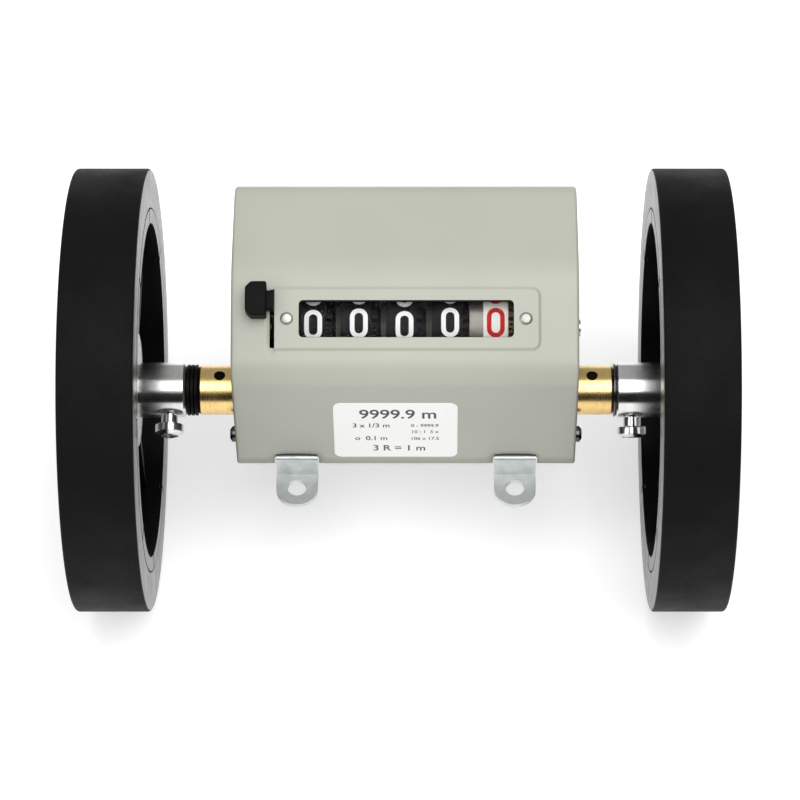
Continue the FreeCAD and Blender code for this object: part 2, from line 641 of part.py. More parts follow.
def make_window_rivets():
    """Two round-head rivets through the panel and the window lens."""
    rivets = []
    head = "dims.panel_rise"
    crown = f"({head} + dims.rivet_head_height)"
    lens_back = "(dims.panel_rise - dims.sheet - dims.lens_thickness)"
    tail = f"({lens_back} - dims.rivet_tail)"
    for side in (-1, 1):
        rivet = turned(f"window_rivet_{side + 1}", [
            (tail, "0"), (tail, "dims.rivet_head_radius"),
            (lens_back, "dims.rivet_head_radius"), (lens_back, "dims.rivet_radius"),
            (head, "dims.rivet_radius"), (head, "dims.rivet_head_radius"),
            (crown, "dims.rivet_head_radius * 0.75"), (crown, "0")])
        # the turning axis X is stood up along the display face's normal
        tilt = value("dims.display_tilt")
        turn = FreeCAD.Rotation(V(1, 0, 0), tilt) * FreeCAD.Rotation(V(0, 1, 0), -90)
        rivet.Placement = FreeCAD.Placement(V(0, 0, 0), turn)
        rivet.setExpression(".Placement.Base.x",
                            f"{WINDOW_MIDDLE} + {side} * dims.rivet_spacing / 2")
        rivet.setExpression(".Placement.Base.y", DISPLAY_Y)
        rivet.setExpression(".Placement.Base.z", DISPLAY_Z)
        rivets.append(rivet)
    return group("window_rivets", rivets)


def make_label():
    """Rectangular rating label on the front wall."""
    body = new_body("label_plate")
    sketch = new_sketch(body, "XZ_Plane", "dims.case_front", "label_outline")
    middle = f"({CASE_MIDDLE} + dims.label_shift)"
    rectangle(sketch, f"{middle} - dims.label_width / 2", f"{middle} + dims.label_width / 2",
              "dims.label_centre_z - dims.label_height / 2",
              "dims.label_centre_z + dims.label_height / 2")
    pad(body, sketch, "dims.label_thickness")
    DOC.recompute()
    corners = []
    for x_side in (-1, 1):
        for z_side in (-1, 1):
            corners.append(V(value(f"{middle} + {x_side} * dims.label_width / 2"), 0,
                             value(f"dims.label_centre_z + {z_side} * dims.label_height / 2")))
    round_edges(body, edges_along(body.Shape, V(0, 1, 0), corners), "dims.label_radius",
                "label_corners")
    return body


# ---------------------------------------------------------------- bushes

def make_bush(name, side):
    """Brass bearing bush with a shoulder outside the cheek and an oil hole on top."""
    end, shoulder, tail = BUSH_END[side], CHEEK_OUTER[side], BUSH_TAIL[side]
    bore = "(dims.axle_radius + dims.running_gap)"
    chamfer = f"({end} - {side} * dims.bush_chamfer)"
    body = turned(name, [
        (end, bore), (end, "(dims.bush_radius - dims.bush_chamfer)"),
        (chamfer, "dims.bush_radius"), (shoulder, "dims.bush_radius"),
        (shoulder, "dims.bush_thread_radius"), (tail, "dims.bush_thread_radius"),
        (tail, bore)])
    hole = new_sketch(body, "XY_Plane", "0", "oil_hole")
    circle(hole, f"{CASE_SIDE[side]} + {side} * dims.oil_hole_set_back", "0",
           "dims.oil_hole_radius")
    pocket(body, hole, "dims.bush_radius + 1", True, "oil_drilling")
    DOC.recompute()
    return body


def make_bush_nuts():
    """Hexagon nuts that clamp the bushes to the cheeks."""
    nuts = []
    for side in (-1, 1):
        body = new_body(f"bush_nut_{side + 1}")
        start = CHEEK_INNER[-1] if side < 0 else f"{CHEEK_INNER[1]} - dims.nut_thickness"
        sketch = new_sketch(body, "YZ_Plane", start, "hexagon")
        corner = "(dims.nut_across_flats / 2 / cos(30))"
        polygon(sketch, [(f"{corner} * cos({60 * k})", f"{corner} * sin({60 * k})")
                         for k in range(6)])
        pad(body, sketch, "dims.nut_thickness")
        bore = new_sketch(body, "YZ_Plane", start, "thread")
        circle(bore, "0", "0", "dims.bush_thread_radius + dims.press_gap")
        pocket(body, bore, "dims.nut_thickness", True, "tapping")
        DOC.recompute()
        nuts.append(body)
    return group("bush_nuts", nuts)


# ---------------------------------------------------------------- axle and wheels

def make_main_shaft():
    end = f"({WEB_OUTER} + dims.axle_overhang)"
    inner = "(dims.axle_radius - dims.axle_chamfer)"
    return turned("main_shaft", [
        (f"-{end}", "0"), (f"-{end}", inner),
        (f"-({end} - dims.axle_chamfer)", "dims.axle_radius"),
        (f"({end} - dims.axle_chamfer)", "dims.axle_radius"), (end, inner), (end, "0")])


def make_spacer_ring():
    """Ring that fills the space between the left bush and the left hub."""
    start = f"({BUSH_END[-1]} - dims.end_play)"
    return turned("spacer_ring", ring_stations(
        start, f"({start} - dims.spacer_width)", "dims.axle_radius + dims.running_gap",
        "dims.spacer_radius"))


def make_thrust_washer():
    """Thin washer between the right bush and the right hub."""
    start = f"({BUSH_END[1]} + dims.end_play)"
    return turned("thrust_washer", ring_stations(
        start, f"({start} + dims.washer_thickness)", "dims.axle_radius + dims.running_gap",
        "dims.washer_radius"))


def make_shaft_collars():
    """Collars on the axle just inside the bushes."""
    collars = []
    for side in (-1, 1):
        start = f"({BUSH_TAIL[side]} - {side} * dims.collar_gap)"
        end = f"({start} - {side} * dims.collar_width)"
        collars.append(turned(f"shaft_collar_{side + 1}", ring_stations(
            start, end, "dims.axle_radius + dims.press_gap", "dims.collar_radius")))
    return group("shaft_collars", collars)


def make_hub(name, side):
    """Steel hub: a polished sleeve, a flange against the wheel's web and a spigot in it."""
    bore = "(dims.axle_radius + dims.press_gap)"
    start = f"({side} * {SLEEVE_START})"
    after_chamfer = f"({side} * ({SLEEVE_START} + dims.sleeve_chamfer))"
    flange_face = f"({side} * ({WEB_INNER} - dims.flange_thickness))"
    web_face = f"({side} * {WEB_INNER})"
    spigot_end = f"({side} * {WEB_OUTER})"
    body = turned(name, [
        (start, bore), (start, "(dims.sleeve_radius - dims.sleeve_chamfer)"),
        (after_chamfer, "dims.sleeve_radius"), (flange_face, "dims.sleeve_radius"),
        (flange_face, "dims.flange_radius"), (web_face, "dims.flange_radius"),
        (web_face, "dims.spigot_radius"), (spigot_end, "dims.spigot_radius"),
        (spigot_end, bore)])
    drill_hub_screw_holes(body, f"({side} * {WEB_OUTER} + {side})", side)
    drill_clamp_hole(body, side)
    return body


def drill_hub_screw_holes(body, start, side):
    """Drill the ring of holes for the screws that join hub and wheel."""
    sketch = new_sketch(body, "YZ_Plane", start, "hub_screw_hole")
    circle(sketch, "dims.hub_screw_circle", "0", "dims.hub_screw_radius + dims.press_gap")
    depth = "dims.web_thickness + dims.flange_thickness + 2"
    hole = pocket(body, sketch, depth, side < 0, "hub_screw_drilling")
    DOC.recompute()
    polar(body, hole, "dims.hub_screw_count", "hub_screw_ring")
    DOC.recompute()


def clamp_turn(side):
    """Rotation that lays the X axis along a clamp screw, from the axle outwards."""
    angle = value("dims.left_clamp_angle" if side < 0 else "dims.right_clamp_angle")
    return FreeCAD.Rotation(V(1, 0, 0), angle) * FreeCAD.Rotation(V(0, 0, 1), 90)


def clamp_station(side):
    return f"({side} * ({SLEEVE_START} + dims.clamp_screw_set_back))"


def drill_clamp_hole(body, side):
    """Drill the sleeve for its clamp screw, along the screw's own direction."""
    sketch = body.newObject("Sketcher::SketchObject", "clamp_hole")
    sketch.AttachmentSupport = [(origin_item(body, "XY_Plane"), "")]
    sketch.MapMode = "FlatFace"
    # the sketch's normal is the local Z axis, so it is turned onto the screw's X axis
    turn = clamp_turn(side) * FreeCAD.Rotation(V(0, 1, 0), 90)
    sketch.AttachmentOffset = FreeCAD.Placement(V(0, 0, 0), turn)
    sketch.setExpression("AttachmentOffset.Base.x", clamp_station(side))
    circle(sketch, "0", "0", "dims.clamp_screw_radius + dims.press_gap")
    pocket(body, sketch, "dims.sleeve_radius + 1", True, "clamp_drilling")
    DOC.recompute()


def make_clamp_screw(name, side):
    """Pan-head screw through the sleeve, bearing on the axle."""
    tip = "(dims.axle_radius + dims.running_gap)"
    seat = "dims.clamp_screw_reach"
    top = f"({seat} + dims.clamp_screw_head_height)"
    rim = f"({top} - dims.clamp_screw_head_dome)"
    body = turned(name, [
        (tip, "0"), (tip, "dims.clamp_screw_radius"), (seat, "dims.clamp_screw_radius"),
        (seat, "dims.clamp_screw_head_radius"), (rim, "dims.clamp_screw_head_radius"),
        (top, "dims.clamp_screw_head_radius * 0.62"), (top, "0")])
    cross_recess(body, top, "dims.clamp_screw_head_radius * 0.58", "0.8",
                 "dims.clamp_screw_head_height * 0.5", False)
    body.Placement = FreeCAD.Placement(V(0, 0, 0), clamp_turn(side))
    body.setExpression(".Placement.Base.x", clamp_station(side))
    return body


def make_wheel(name, side):
    """Moulded wheel: rim, web and ribs, bored for the hub's spigot."""
    inner, outer = f"({side} * {WHEEL_INNER})", f"({side} * {WHEEL_OUTER})"
    web_in, web_out = f"({side} * {WEB_INNER})", f"({side} * {WEB_OUTER})"
    seat = f"({TYRE_SEAT} - dims.press_gap)"
    bore = "(dims.spigot_radius + dims.press_gap)"
    body = turned(name, [
        (web_in, bore), (web_in, RIM_INNER), (inner, RIM_INNER), (inner, seat), (outer, seat),
        (outer, RIM_INNER), (web_out, RIM_INNER), (web_out, bore)])
    add_ribs(body, side)
    drill_hub_screw_holes(body, f"({side} * {WEB_OUTER} + {side})", side)
    notch_rim(body, side)
    return body


def add_ribs(body, side):
    """Stiffening ribs on the web's inner side, between the flange and the rim."""
    web = f"({side} * {WEB_INNER})"
    sketch = new_sketch(body, "YZ_Plane", web, "rib_outline")
    low = "(dims.flange_radius + 0.5)"
    rectangle(sketch, low, f"{RIM_INNER} + 1", "-dims.rib_thickness / 2",
              "dims.rib_thickness / 2")
    rib = pad(body, sketch, "dims.web_recess - dims.rib_set_back", "rib")
    rib.Reversed = side > 0
    DOC.recompute()
    polar(body, rib, "dims.rib_count", "ribs")
    DOC.recompute()


def notch_rim(body, side):
    """Small notches across the rim's inner face, one at each rib."""
    face = f"({side} * {WHEEL_INNER})"
    sketch = new_sketch(body, "YZ_Plane", face, "rim_notch")
    rectangle(sketch, f"{RIM_INNER} - 1", f"{TYRE_SEAT} + 1",
              "-dims.rim_notch_width / 2", "dims.rim_notch_width / 2")
    cut = pocket(body, sketch, "dims.rim_notch_depth", side > 0, "notch")
    DOC.recompute()
    polar(body, cut, "dims.rib_count", "notches")
    DOC.recompute()


def make_tyre(name, side):
    """Rubber tyre, pressed on the rim."""
    inner, outer = f"({side} * {WHEEL_INNER})", f"({side} * {WHEEL_OUTER})"
    inner_edge = f"({side} * ({WHEEL_INNER} + dims.tyre_chamfer))"
    outer_edge = f"({side} * ({WHEEL_OUTER} - dims.tyre_chamfer))"
    shoulder = "(dims.tread_radius - dims.tyre_chamfer)"
    return turned(name, [
        (inner, TYRE_SEAT), (inner, shoulder), (inner_edge, "dims.tread_radius"),
        (outer_edge, "dims.tread_radius"), (outer, shoulder),
        (outer, TYRE_SEAT)])


def make_hub_screws():
    """Screws from the outer side that hold each wheel to its hub."""
    screws = []
    for side in (-1, 1):
        seat = f"({side} * {WEB_OUTER})"
        top = f"({seat} + {side} * dims.hub_screw_head_height)"
        tip = f"({side} * ({WEB_INNER} - dims.flange_thickness))"
        for index in range(int(value("dims.hub_screw_count"))):
            screw = turned(f"hub_screw_{side + 1}_{index}", [
                (tip, "0"), (tip, "dims.hub_screw_radius"), (seat, "dims.hub_screw_radius"),
                (seat, "dims.hub_screw_head_radius"), (top, "dims.hub_screw_head_radius"),
                (top, "0")])
            cross_recess(screw, top, "dims.hub_screw_head_radius * 0.6", "0.7",
                         "dims.hub_screw_head_height * 0.6", side < 0)
            angle = f"({index} * 360 / dims.hub_screw_count)"
            screws.append(place(screw, y=f"dims.hub_screw_circle * cos({angle})",
                                z=f"dims.hub_screw_circle * sin({angle})"))
    return group("hub_screws", screws)


# ---------------------------------------------------------------- drive gears

def drive_teeth(body, teeth, start, width):
    return cut_teeth(body, "dims.gear_module", teeth, "dims.flank_angle",
                     "dims.backlash_share", "dims.gear_addendum", "1.2", start, width)


def make_drive_pinion():
    """Pinion with a hub, pinned to the axle."""
    bore = "(dims.axle_radius + dims.press_gap)"
    outer = "(dims.gear_module * (dims.pinion_teeth / 2 + dims.gear_addendum))"
    hub_end = f"({GEAR_RIGHT} + dims.pinion_hub_length)"
    body = turned("drive_pinion", [
        (GEAR_LEFT, bore), (GEAR_LEFT, outer), (GEAR_RIGHT, outer),
        (GEAR_RIGHT, "dims.pinion_hub_radius"), (hub_end, "dims.pinion_hub_radius"),
        (hub_end, bore)])
    drive_teeth(body, "dims.pinion_teeth", GEAR_LEFT, "dims.gear_width")
    DOC.recompute()
    pin_hole = new_sketch(body, "XY_Plane", "0", "pin_hole")
    circle(pin_hole, f"{GEAR_RIGHT} + dims.pinion_hub_length / 2", "0",
           "dims.pinion_pin_radius + dims.press_gap")
    pocket_through(body, pin_hole, "pin_drilling")
    DOC.recompute()
    return place(body, turn="90 - dims.drum_lean + 180 / dims.pinion_teeth")


def make_pinion_pins():
    """Two short pins, one from each side, that key the pinion's hub to the axle."""
    pins = []
    for side in (-1, 1):
        pin = turned(f"pinion_pin_{side + 1}", [
            ("dims.axle_radius", "0"), ("dims.axle_radius", "dims.pinion_pin_radius"),
            ("dims.pinion_hub_radius", "dims.pinion_pin_radius"),
            ("dims.pinion_hub_radius", "0")])
        angle = value("90 - dims.drum_lean + 180 / dims.pinion_teeth")
        turn = (FreeCAD.Rotation(V(1, 0, 0), angle)
                * FreeCAD.Rotation(V(0, 1, 0), -90 * side))
        pin.Placement = FreeCAD.Placement(V(0, 0, 0), turn)
        pin.setExpression(".Placement.Base.x", f"{GEAR_RIGHT} + dims.pinion_hub_length / 2")
        pins.append(pin)
    return group("pinion_pins", pins)


def make_drive_gear():
    """Gear beside the last drum, driven by the pinion on the axle."""
    bore = "(dims.drum_shaft_radius + dims.running_gap)"
    outer = "(dims.gear_module * (dims.gear_teeth / 2 + dims.gear_addendum))"
    rim = "(dims.gear_module * (dims.gear_teeth / 2 - 1.2) - dims.gear_rim)"
    web_end = f"({GEAR_LEFT} + dims.gear_web_thickness)"
    hub = "dims.drum_hub_radius"
    body = turned("drive_gear", [
        (GEAR_LEFT, bore), (GEAR_LEFT, outer), (GEAR_RIGHT, outer), (GEAR_RIGHT, rim),
        (web_end, rim), (web_end, hub), (GEAR_RIGHT, hub), (GEAR_RIGHT, bore)])
    drive_teeth(body, "dims.gear_teeth", GEAR_LEFT, "dims.gear_width")
    DOC.recompute()
    return place(body, y=DRUM_Y, z=DRUM_Z, turn="270 - dims.drum_lean")


# ---------------------------------------------------------------- number drums

def make_drum(index):
    """Number drum: a band for the figures, a carry disc to its left, a ring to its right."""
    last = index == len(DRUM_NAMES) - 1
    middle = drum_x(index)
    bore = "(dims.drum_shaft_radius + dims.running_gap)"
    band_left = f"({middle} - dims.band_width / 2)"
    band_right = f"({middle} + dims.band_width / 2)"
    if last:
        # the drive gear takes the ring's place, and the metal carry disc is its own piece
        return turned_on_drum_shaft(f"{DRUM_NAMES[index]}_drum", [
            (band_left, bore), (band_left, "dims.drum_radius"),
            (band_right, "dims.drum_radius"), (band_right, bore)])
    disc_left = f"({band_left} - dims.disc_width)"
    ring_right = f"({band_right} + dims.ring_width)"
    hub_left = f"({disc_left} - dims.cam_width)"
    hub_right = f"({hub_left} + dims.drum_pitch - dims.drum_play)"
    if index == len(DRUM_NAMES) - 2:
        hub_right = (f"({drum_x(index + 1)} - dims.band_width / 2 - dims.last_disc_width"
                     " - dims.drum_play)")
    wall_right = f"({disc_left} + dims.drum_wall)"
    ring_outer = "(dims.carry_module * (dims.ring_teeth / 2 + dims.carry_addendum))"
    ring_inner = ("(dims.carry_module * (dims.ring_teeth / 2 - dims.carry_dedendum)"
                  " - dims.ring_wall)")
    body = turned(f"{DRUM_NAMES[index]}_drum", [
        (hub_left, bore), (hub_left, "dims.drum_collar_radius"),
        (disc_left, "dims.drum_collar_radius"), (disc_left, "dims.disc_radius"),
        (band_left, "dims.disc_radius"), (band_left, "dims.drum_radius"),
        (band_right, "dims.drum_radius"), (band_right, ring_outer), (ring_right, ring_outer),
        (ring_right, ring_inner), (wall_right, ring_inner),
        (wall_right, "dims.drum_hub_radius"), (hub_right, "dims.drum_hub_radius"),
        (hub_right, bore)])
    cut_teeth(body, "dims.carry_module", "dims.ring_teeth", "dims.carry_flank_angle",
              "dims.carry_backlash_share", "dims.carry_addendum", "dims.carry_dedendum",
              band_right, "dims.ring_width")
    cut_carry_notches(body, disc_left, "dims.disc_width")
    return place(body, y=DRUM_Y, z=DRUM_Z, turn="dims.carry_angle")


def turned_on_drum_shaft(label, stations):
    return place(turned(label, stations), y=DRUM_Y, z=DRUM_Z, turn="dims.carry_angle")


def cut_carry_notches(body, start, width):
    """Two notches in the carry disc, which turn the carry pinion once per turn."""
    DOC.recompute()
    half_step = value("dims.carry_notch_step") / 2
    depth_radius = "(dims.disc_radius - dims.carry_notch_depth)"
    for number, angle in enumerate((180 - half_step, 180 + half_step)):
        sketch = body.newObject("Sketcher::SketchObject", f"carry_notch_{number}")
        sketch.AttachmentSupport = [(origin_item(body, "YZ_Plane"), "")]
        sketch.MapMode = "FlatFace"
        sketch.AttachmentOffset = FreeCAD.Placement(
            V(0, 0, 0), FreeCAD.Rotation(V(0, 0, 1), angle))
        sketch.setExpression("AttachmentOffset.Base.z", start)
        rectangle(sketch, depth_radius, "dims.disc_radius + 0.2",
                  "-dims.carry_notch_width / 2", "dims.carry_notch_width / 2")
        pocket(body, sketch, width, True, "carry_notch_cut")
        DOC.recompute()


def make_metal_disc():
    """Metal carry disc on the left of the last drum."""
    right = f"({drum_x(len(DRUM_NAMES) - 1)} - dims.band_width / 2)"
    left = f"({right} - dims.last_disc_width)"
    body = turned("tenths_disc", ring_stations(
        left, right, "(dims.drum_shaft_radius + dims.running_gap)", "dims.disc_radius"))
    cut_carry_notches(body, left, "dims.last_disc_width")
    return place(body, y=DRUM_Y, z=DRUM_Z, turn="dims.carry_angle")


def cam_left(index):
    """Left face of a drum's heart cam."""
    if index == len(DRUM_NAMES) - 1:
        return GEAR_RIGHT
    return f"({drum_x(index)} - dims.band_width / 2 - dims.disc_width - dims.cam_width)"


def make_heart_cam(index):
    """Heart-shaped reset cam: two spirals that meet in a nose and a notch."""
    last = index == len(DRUM_NAMES) - 1
    feature = DOC.addObject("Part::Feature", f"{DRUM_NAMES[index]}_cam")
    small, large = value("dims.cam_small_radius"), value("dims.cam_large_radius")
    half_turn = []
    steps = 8
    for step in range(steps + 1):
        share = step / steps
        radius = small + (large - small) * share
        half_turn.append(V(0, radius * math.cos(math.pi * share),
                           radius * math.sin(math.pi * share)))
    spiral = Part.BSplineCurve()
    spiral.interpolate(half_turn)
    mirrored = Part.BSplineCurve()
    mirrored.interpolate([V(0, p.y, -p.z) for p in reversed(half_turn)])
    outline = Part.Wire([spiral.toShape(), mirrored.toShape()])
    width = value("dims.cam_width")
    blank = Part.Face(outline).extrude(V(width, 0, 0))
    bore = value("dims.drum_shaft_radius + dims.running_gap" if last
                 else "dims.drum_collar_radius + dims.press_gap")
    hole = Part.makeCylinder(bore, width, V(0, 0, 0), V(1, 0, 0))
    feature.Shape = blank.cut(hole)
    turn = "dims.display_tilt - 90"
    feature.Placement = FreeCAD.Placement(V(0, 0, 0), FreeCAD.Rotation(V(1, 0, 0), 10))
    feature.setExpression(".Placement.Base.x", cam_left(index))
    feature.setExpression(".Placement.Base.y", DRUM_Y)
    feature.setExpression(".Placement.Base.z", DRUM_Z)
    feature.setExpression(".Placement.Rotation.Angle", turn)
    feature.Label = f"{DRUM_NAMES[index]}_cam"
    return feature


def make_drum_shaft():
    """Fixed shaft that the drums turn on, from the left cheek out through the right wall."""
    left = CHEEK_OUTER[-1]
    right = f"({CASE_RIGHT} + dims.drum_shaft_overhang)"
    shaft = turned("drum_shaft", [
        (left, "0"), (left, "dims.drum_shaft_radius"), (right, "dims.drum_shaft_radius"),
        (right, "0")])
    return place(shaft, y=DRUM_Y, z=DRUM_Z)


def make_drum_spacers():
    """Tubes on the drum shaft that hold the row of drums between the cheeks."""
    bore = "(dims.drum_shaft_radius + dims.press_gap)"
    spans = [(CHEEK_INNER[-1], f"({cam_left(0)} - dims.drum_play)"),
             (f"({GEAR_RIGHT} + dims.cam_width + dims.drum_play)", CHEEK_INNER[1])]
    tubes = []
    for index, (start, end) in enumerate(spans):
        tube = turned(f"drum_spacer_{index}", ring_stations(
            start, end, bore, "dims.drum_spacer_radius"))
        tubes.append(place(tube, y=DRUM_Y, z=DRUM_Z))
    return group("drum_spacers", tubes)


# ---------------------------------------------------------------- carry pinions

def make_carry_pinion(index):
    """Carry pinion in mesh with one drum's ring, with a long hub that spaces the next."""
    ring_left = f"({drum_x(index)} + dims.band_width / 2)"
    start = f"({ring_left} + dims.carry_face_gap)"
    tooth_end = f"({ring_left} + dims.ring_width - dims.carry_face_gap)"
    hub_end = f"({start} + dims.drum_pitch - dims.drum_play)"
    if index == len(DRUM_NAMES) - 2:
        hub_end = f"({GEAR_LEFT} - 2 * dims.drum_play)"
    bore = "(dims.carry_shaft_radius + dims.running_gap)"
    outer = "(dims.carry_module * (dims.carry_teeth / 2 + dims.carry_addendum))"
    body = turned(f"{DRUM_NAMES[index]}_carry_pinion", [
        (start, bore), (start, outer), (tooth_end, outer),
        (tooth_end, "dims.carry_hub_radius"), (hub_end, "dims.carry_hub_radius"),
        (hub_end, bore)])
    width = f"({tooth_end} - {start})"
    cut_teeth(body, "dims.carry_module", "dims.carry_teeth", "dims.carry_flank_angle",
              "dims.carry_backlash_share", "dims.carry_addendum", "dims.carry_dedendum",
              start, width)
    DOC.recompute()
    return place(body, y=CARRY_Y, z=CARRY_Z,
                 turn="dims.carry_angle + 180 + 180 / dims.carry_teeth")


def make_carry_shaft():
    left, right = CHEEK_OUTER[-1], CHEEK_OUTER[1]
    shaft = turned("carry_shaft", [
        (left, "0"), (left, "dims.carry_shaft_radius"), (right, "dims.carry_shaft_radius"),
        (right, "0")])
    return place(shaft, y=CARRY_Y, z=CARRY_Z)


def make_carry_spacer():
    """Tube that holds the row of carry pinions off the left cheek."""
    first = f"({drum_x(0)} + dims.band_width / 2 + dims.carry_face_gap)"
    tube = turned("carry_spacer", ring_stations(
        CHEEK_INNER[-1], f"({first} - dims.drum_play)",
        "(dims.carry_shaft_radius + dims.press_gap)", "dims.carry_hub_radius"))
    return place(tube, y=CARRY_Y, z=CARRY_Z)


# ---------------------------------------------------------------- reset lever

RESET_REST_TURN = "(dims.display_tilt - dims.reset_swing / 2)"


def make_reset_shaft():
    left, right = CHEEK_OUTER[-1], CHEEK_OUTER[1]
    shaft = turned("reset_shaft", [
        (left, "0"), (left, "dims.reset_shaft_radius"), (right, "dims.reset_shaft_radius"),
        (right, "0")])
    return place(shaft, y=RESET_Y, z=RESET_Z)


def make_reset_lever():
    """Flat lever on the reset shaft, bowed forwards round the drum shaft to the slot.

    It is drawn upright, with the reset shaft at the origin and the case's slope level
    above it, and is then leaned back to its place of rest.
    """
    body = new_body("reset_lever")
    sketch = new_sketch(body, "YZ_Plane", "-dims.lever_thickness / 2", "lever_outline")
    half = "(dims.lever_width / 2)"
    eye = "dims.reset_eye_radius"
    bow_right = f"({half} - 0.4 - dims.lever_bulge)"
    bow_left = f"(-{half} + 0.4 - dims.lever_bulge)"
    neck = f"({LEVER_RADIUS} - dims.sheet - 3)"
    tip = f"({LEVER_RADIUS} + dims.panel_rise + dims.cap_gap + dims.tab_height)"
    low = "(dims.reset_reach - 4.5)"
    high = "(dims.reset_reach + 4.5)"
    polygon(sketch, [
        (eye, "0"), (half, "2.5"), (bow_right, low), (bow_right, high), (half, neck),
        (half, tip), (f"-{half}", tip), (f"-{half}", f"{neck} + 0.8"),
        (bow_left, f"{high} + 1.2"), (bow_left, f"{low} - 1.2"), (f"-{eye}", "0")])
    pad(body, sketch, "dims.lever_thickness", "blade")
    eye_sketch = new_sketch(body, "YZ_Plane", "-dims.lever_thickness / 2", "eye_outline")
    circle(eye_sketch, "0", "0", eye)
    pad(body, eye_sketch, "dims.lever_thickness", "eye")
    bore = new_sketch(body, "YZ_Plane", "0", "eye_bore")
    circle(bore, "0", "0", "dims.reset_shaft_radius + dims.press_gap")
    pocket_through(body, bore, "eye_drilling")
    DOC.recompute()
    return place(body, x=LEVER_X, y=RESET_Y, z=RESET_Z, turn=RESET_REST_TURN)


def make_reset_cap():
    """Moulded finger grip over the lever's end, outside the case."""
    body = new_body("reset_cap")
    low = f"({LEVER_RADIUS} + dims.panel_rise + dims.cap_gap)"
    right = "(dims.lever_thickness / 2)"
    left = f"({right} - dims.cap_width)"
    sketch = new_sketch(body, "XY_Plane", low, "cap_outline")
    rectangle(sketch, left, right, "-dims.cap_length / 2", "dims.cap_length / 2")
    pad(body, sketch, "dims.cap_height")
    DOC.recompute()
    half = value("dims.cap_length / 2")
    corners = [V(value(left), -half, 0), V(value(left), half, 0)]
    round_edges(body, edges_along(body.Shape, V(0, 0, 1), corners), "dims.cap_edge",
                "cap_corners")
    groove = new_sketch(body, "XY_Plane", low, "blade_socket")
    rectangle(groove, "-dims.lever_thickness / 2 - dims.press_gap", f"{right} + 1",
              "-dims.lever_width / 2 - dims.press_gap", "dims.lever_width / 2 + dims.press_gap")
    pocket(body, groove, "dims.tab_height + dims.press_gap", True, "socket")
    DOC.recompute()
    return place(body, x=LEVER_X, y=RESET_Y, z=RESET_Z, turn=RESET_REST_TURN)


def make_reset_fingers():
    """Five fingers pressed on the reset shaft, one in the plane of each heart cam."""
    fingers = []
    for index in range(len(DRUM_NAMES)):
        body = new_body(f"reset_finger_{index}")
        sketch = new_sketch(body, "YZ_Plane", "-dims.finger_thickness / 2", "finger_outline")
        half = "(dims.finger_width / 2)"
        rectangle(sketch, f"-{half}", half, "0", "dims.finger_reach")
        pad(body, sketch, "dims.finger_thickness", "blade")
        eye = new_sketch(body, "YZ_Plane", "-dims.finger_thickness / 2", "eye_outline")
        circle(eye, "0", "0", "dims.reset_eye_radius")
        pad(body, eye, "dims.finger_thickness", "eye")
        bore = new_sketch(body, "YZ_Plane", "0", "eye_bore")
        circle(bore, "0", "0", "dims.reset_shaft_radius + dims.press_gap")
        pocket_through(body, bore, "eye_drilling")
        DOC.recompute()
        fingers.append(place(body, x=f"{cam_left(index)} + dims.cam_width / 2", y=RESET_Y,
                             z=RESET_Z, turn="dims.display_tilt - dims.reset_swing / 2"
                                             " - dims.finger_lean"))
    return group("reset_fingers", fingers)


def make_reset_spring():
    """Torsion spring round the reset shaft, between the left cheek and the lever."""
    feature = DOC.addObject("Part::Feature", "reset_spring")
    coil, wire = value("dims.spring_coil_radius"), value("dims.spring_wire_radius")
    pitch, turns = value("dims.spring_pitch"), value("dims.spring_turns")
    leg = value("dims.spring_leg")
    length = pitch * turns
    helix = Part.makeHelix(pitch, length, coil)
    section = Part.Wire(Part.makeCircle(wire, V(coil, 0, 0), V(0, 1, 0)))
    coils = Part.Wire(helix.Edges).makePipeShell([section], True, True)
    lower = Part.makeCylinder(wire, leg, V(coil, 0, 0), V(0, -1, 0))
    upper = Part.makeCylinder(wire, leg, V(coil, 0, length), V(0, 1, 0))
    feature.Shape = coils.fuse([lower, upper]).removeSplitter()
    feature.Placement = FreeCAD.Placement(V(0, 0, 0), FreeCAD.Rotation(V(0, 1, 0), -90))
    feature.setExpression(".Placement.Base.x", f"{LEVER_X} - 2 * dims.spring_wire_radius")
    feature.setExpression(".Placement.Base.y", RESET_Y)
    feature.setExpression(".Placement.Base.z", RESET_Z)
    feature.Label = "reset_spring"
    return feature


# ---------------------------------------------------------------- assembly

def make_all():
    """Build every sub-part, in the order in which the counter goes together."""
    nodes = [make_chassis(), make_tie_rods(), make_bush("left_bush", -1),
             make_bush("right_bush", 1), make_bush_nuts(), make_cover(), make_cover_screws(),
             make_window_lens(), make_window_rivets(), make_label()]
    nodes += [make_main_shaft(), make_spacer_ring(), make_thrust_washer(),
              make_shaft_collars(), make_hub_screws(), make_drive_pinion(),
              make_pinion_pins()]
    for side, name in ((-1, "left"), (1, "right")):
        nodes += [make_hub(f"{name}_hub", side), make_clamp_screw(f"{name}_clamp_screw", side),
                  make_wheel(f"{name}_wheel", side), make_tyre(f"{name}_tyre", side)]
    nodes += [make_drum_shaft(), make_drum_spacers(), make_drive_gear(), make_metal_disc(),
              make_carry_shaft(), make_carry_spacer()]
    for index in range(len(DRUM_NAMES)):
        nodes += [make_drum(index), make_heart_cam(index)]
    for index in range(len(DRUM_NAMES) - 1):
        nodes.append(make_carry_pinion(index))
    nodes += [make_reset_shaft(), make_reset_lever(), make_reset_cap(),
              make_reset_fingers(), make_reset_spring()]
    return nodes


def check(nodes):
    """Stop unless every object is sound and every sub-part has a valid shape."""
    for item in DOC.Objects:
        for state in item.State:
            if state in ("Invalid", "Error"):
                raise RuntimeError(f"{item.Name} ({item.Label}) is {state}")
    for node in nodes:
        if node.Shape.isNull() or not node.Shape.isValid():
            raise RuntimeError(f"{node.Label} has no valid shape")


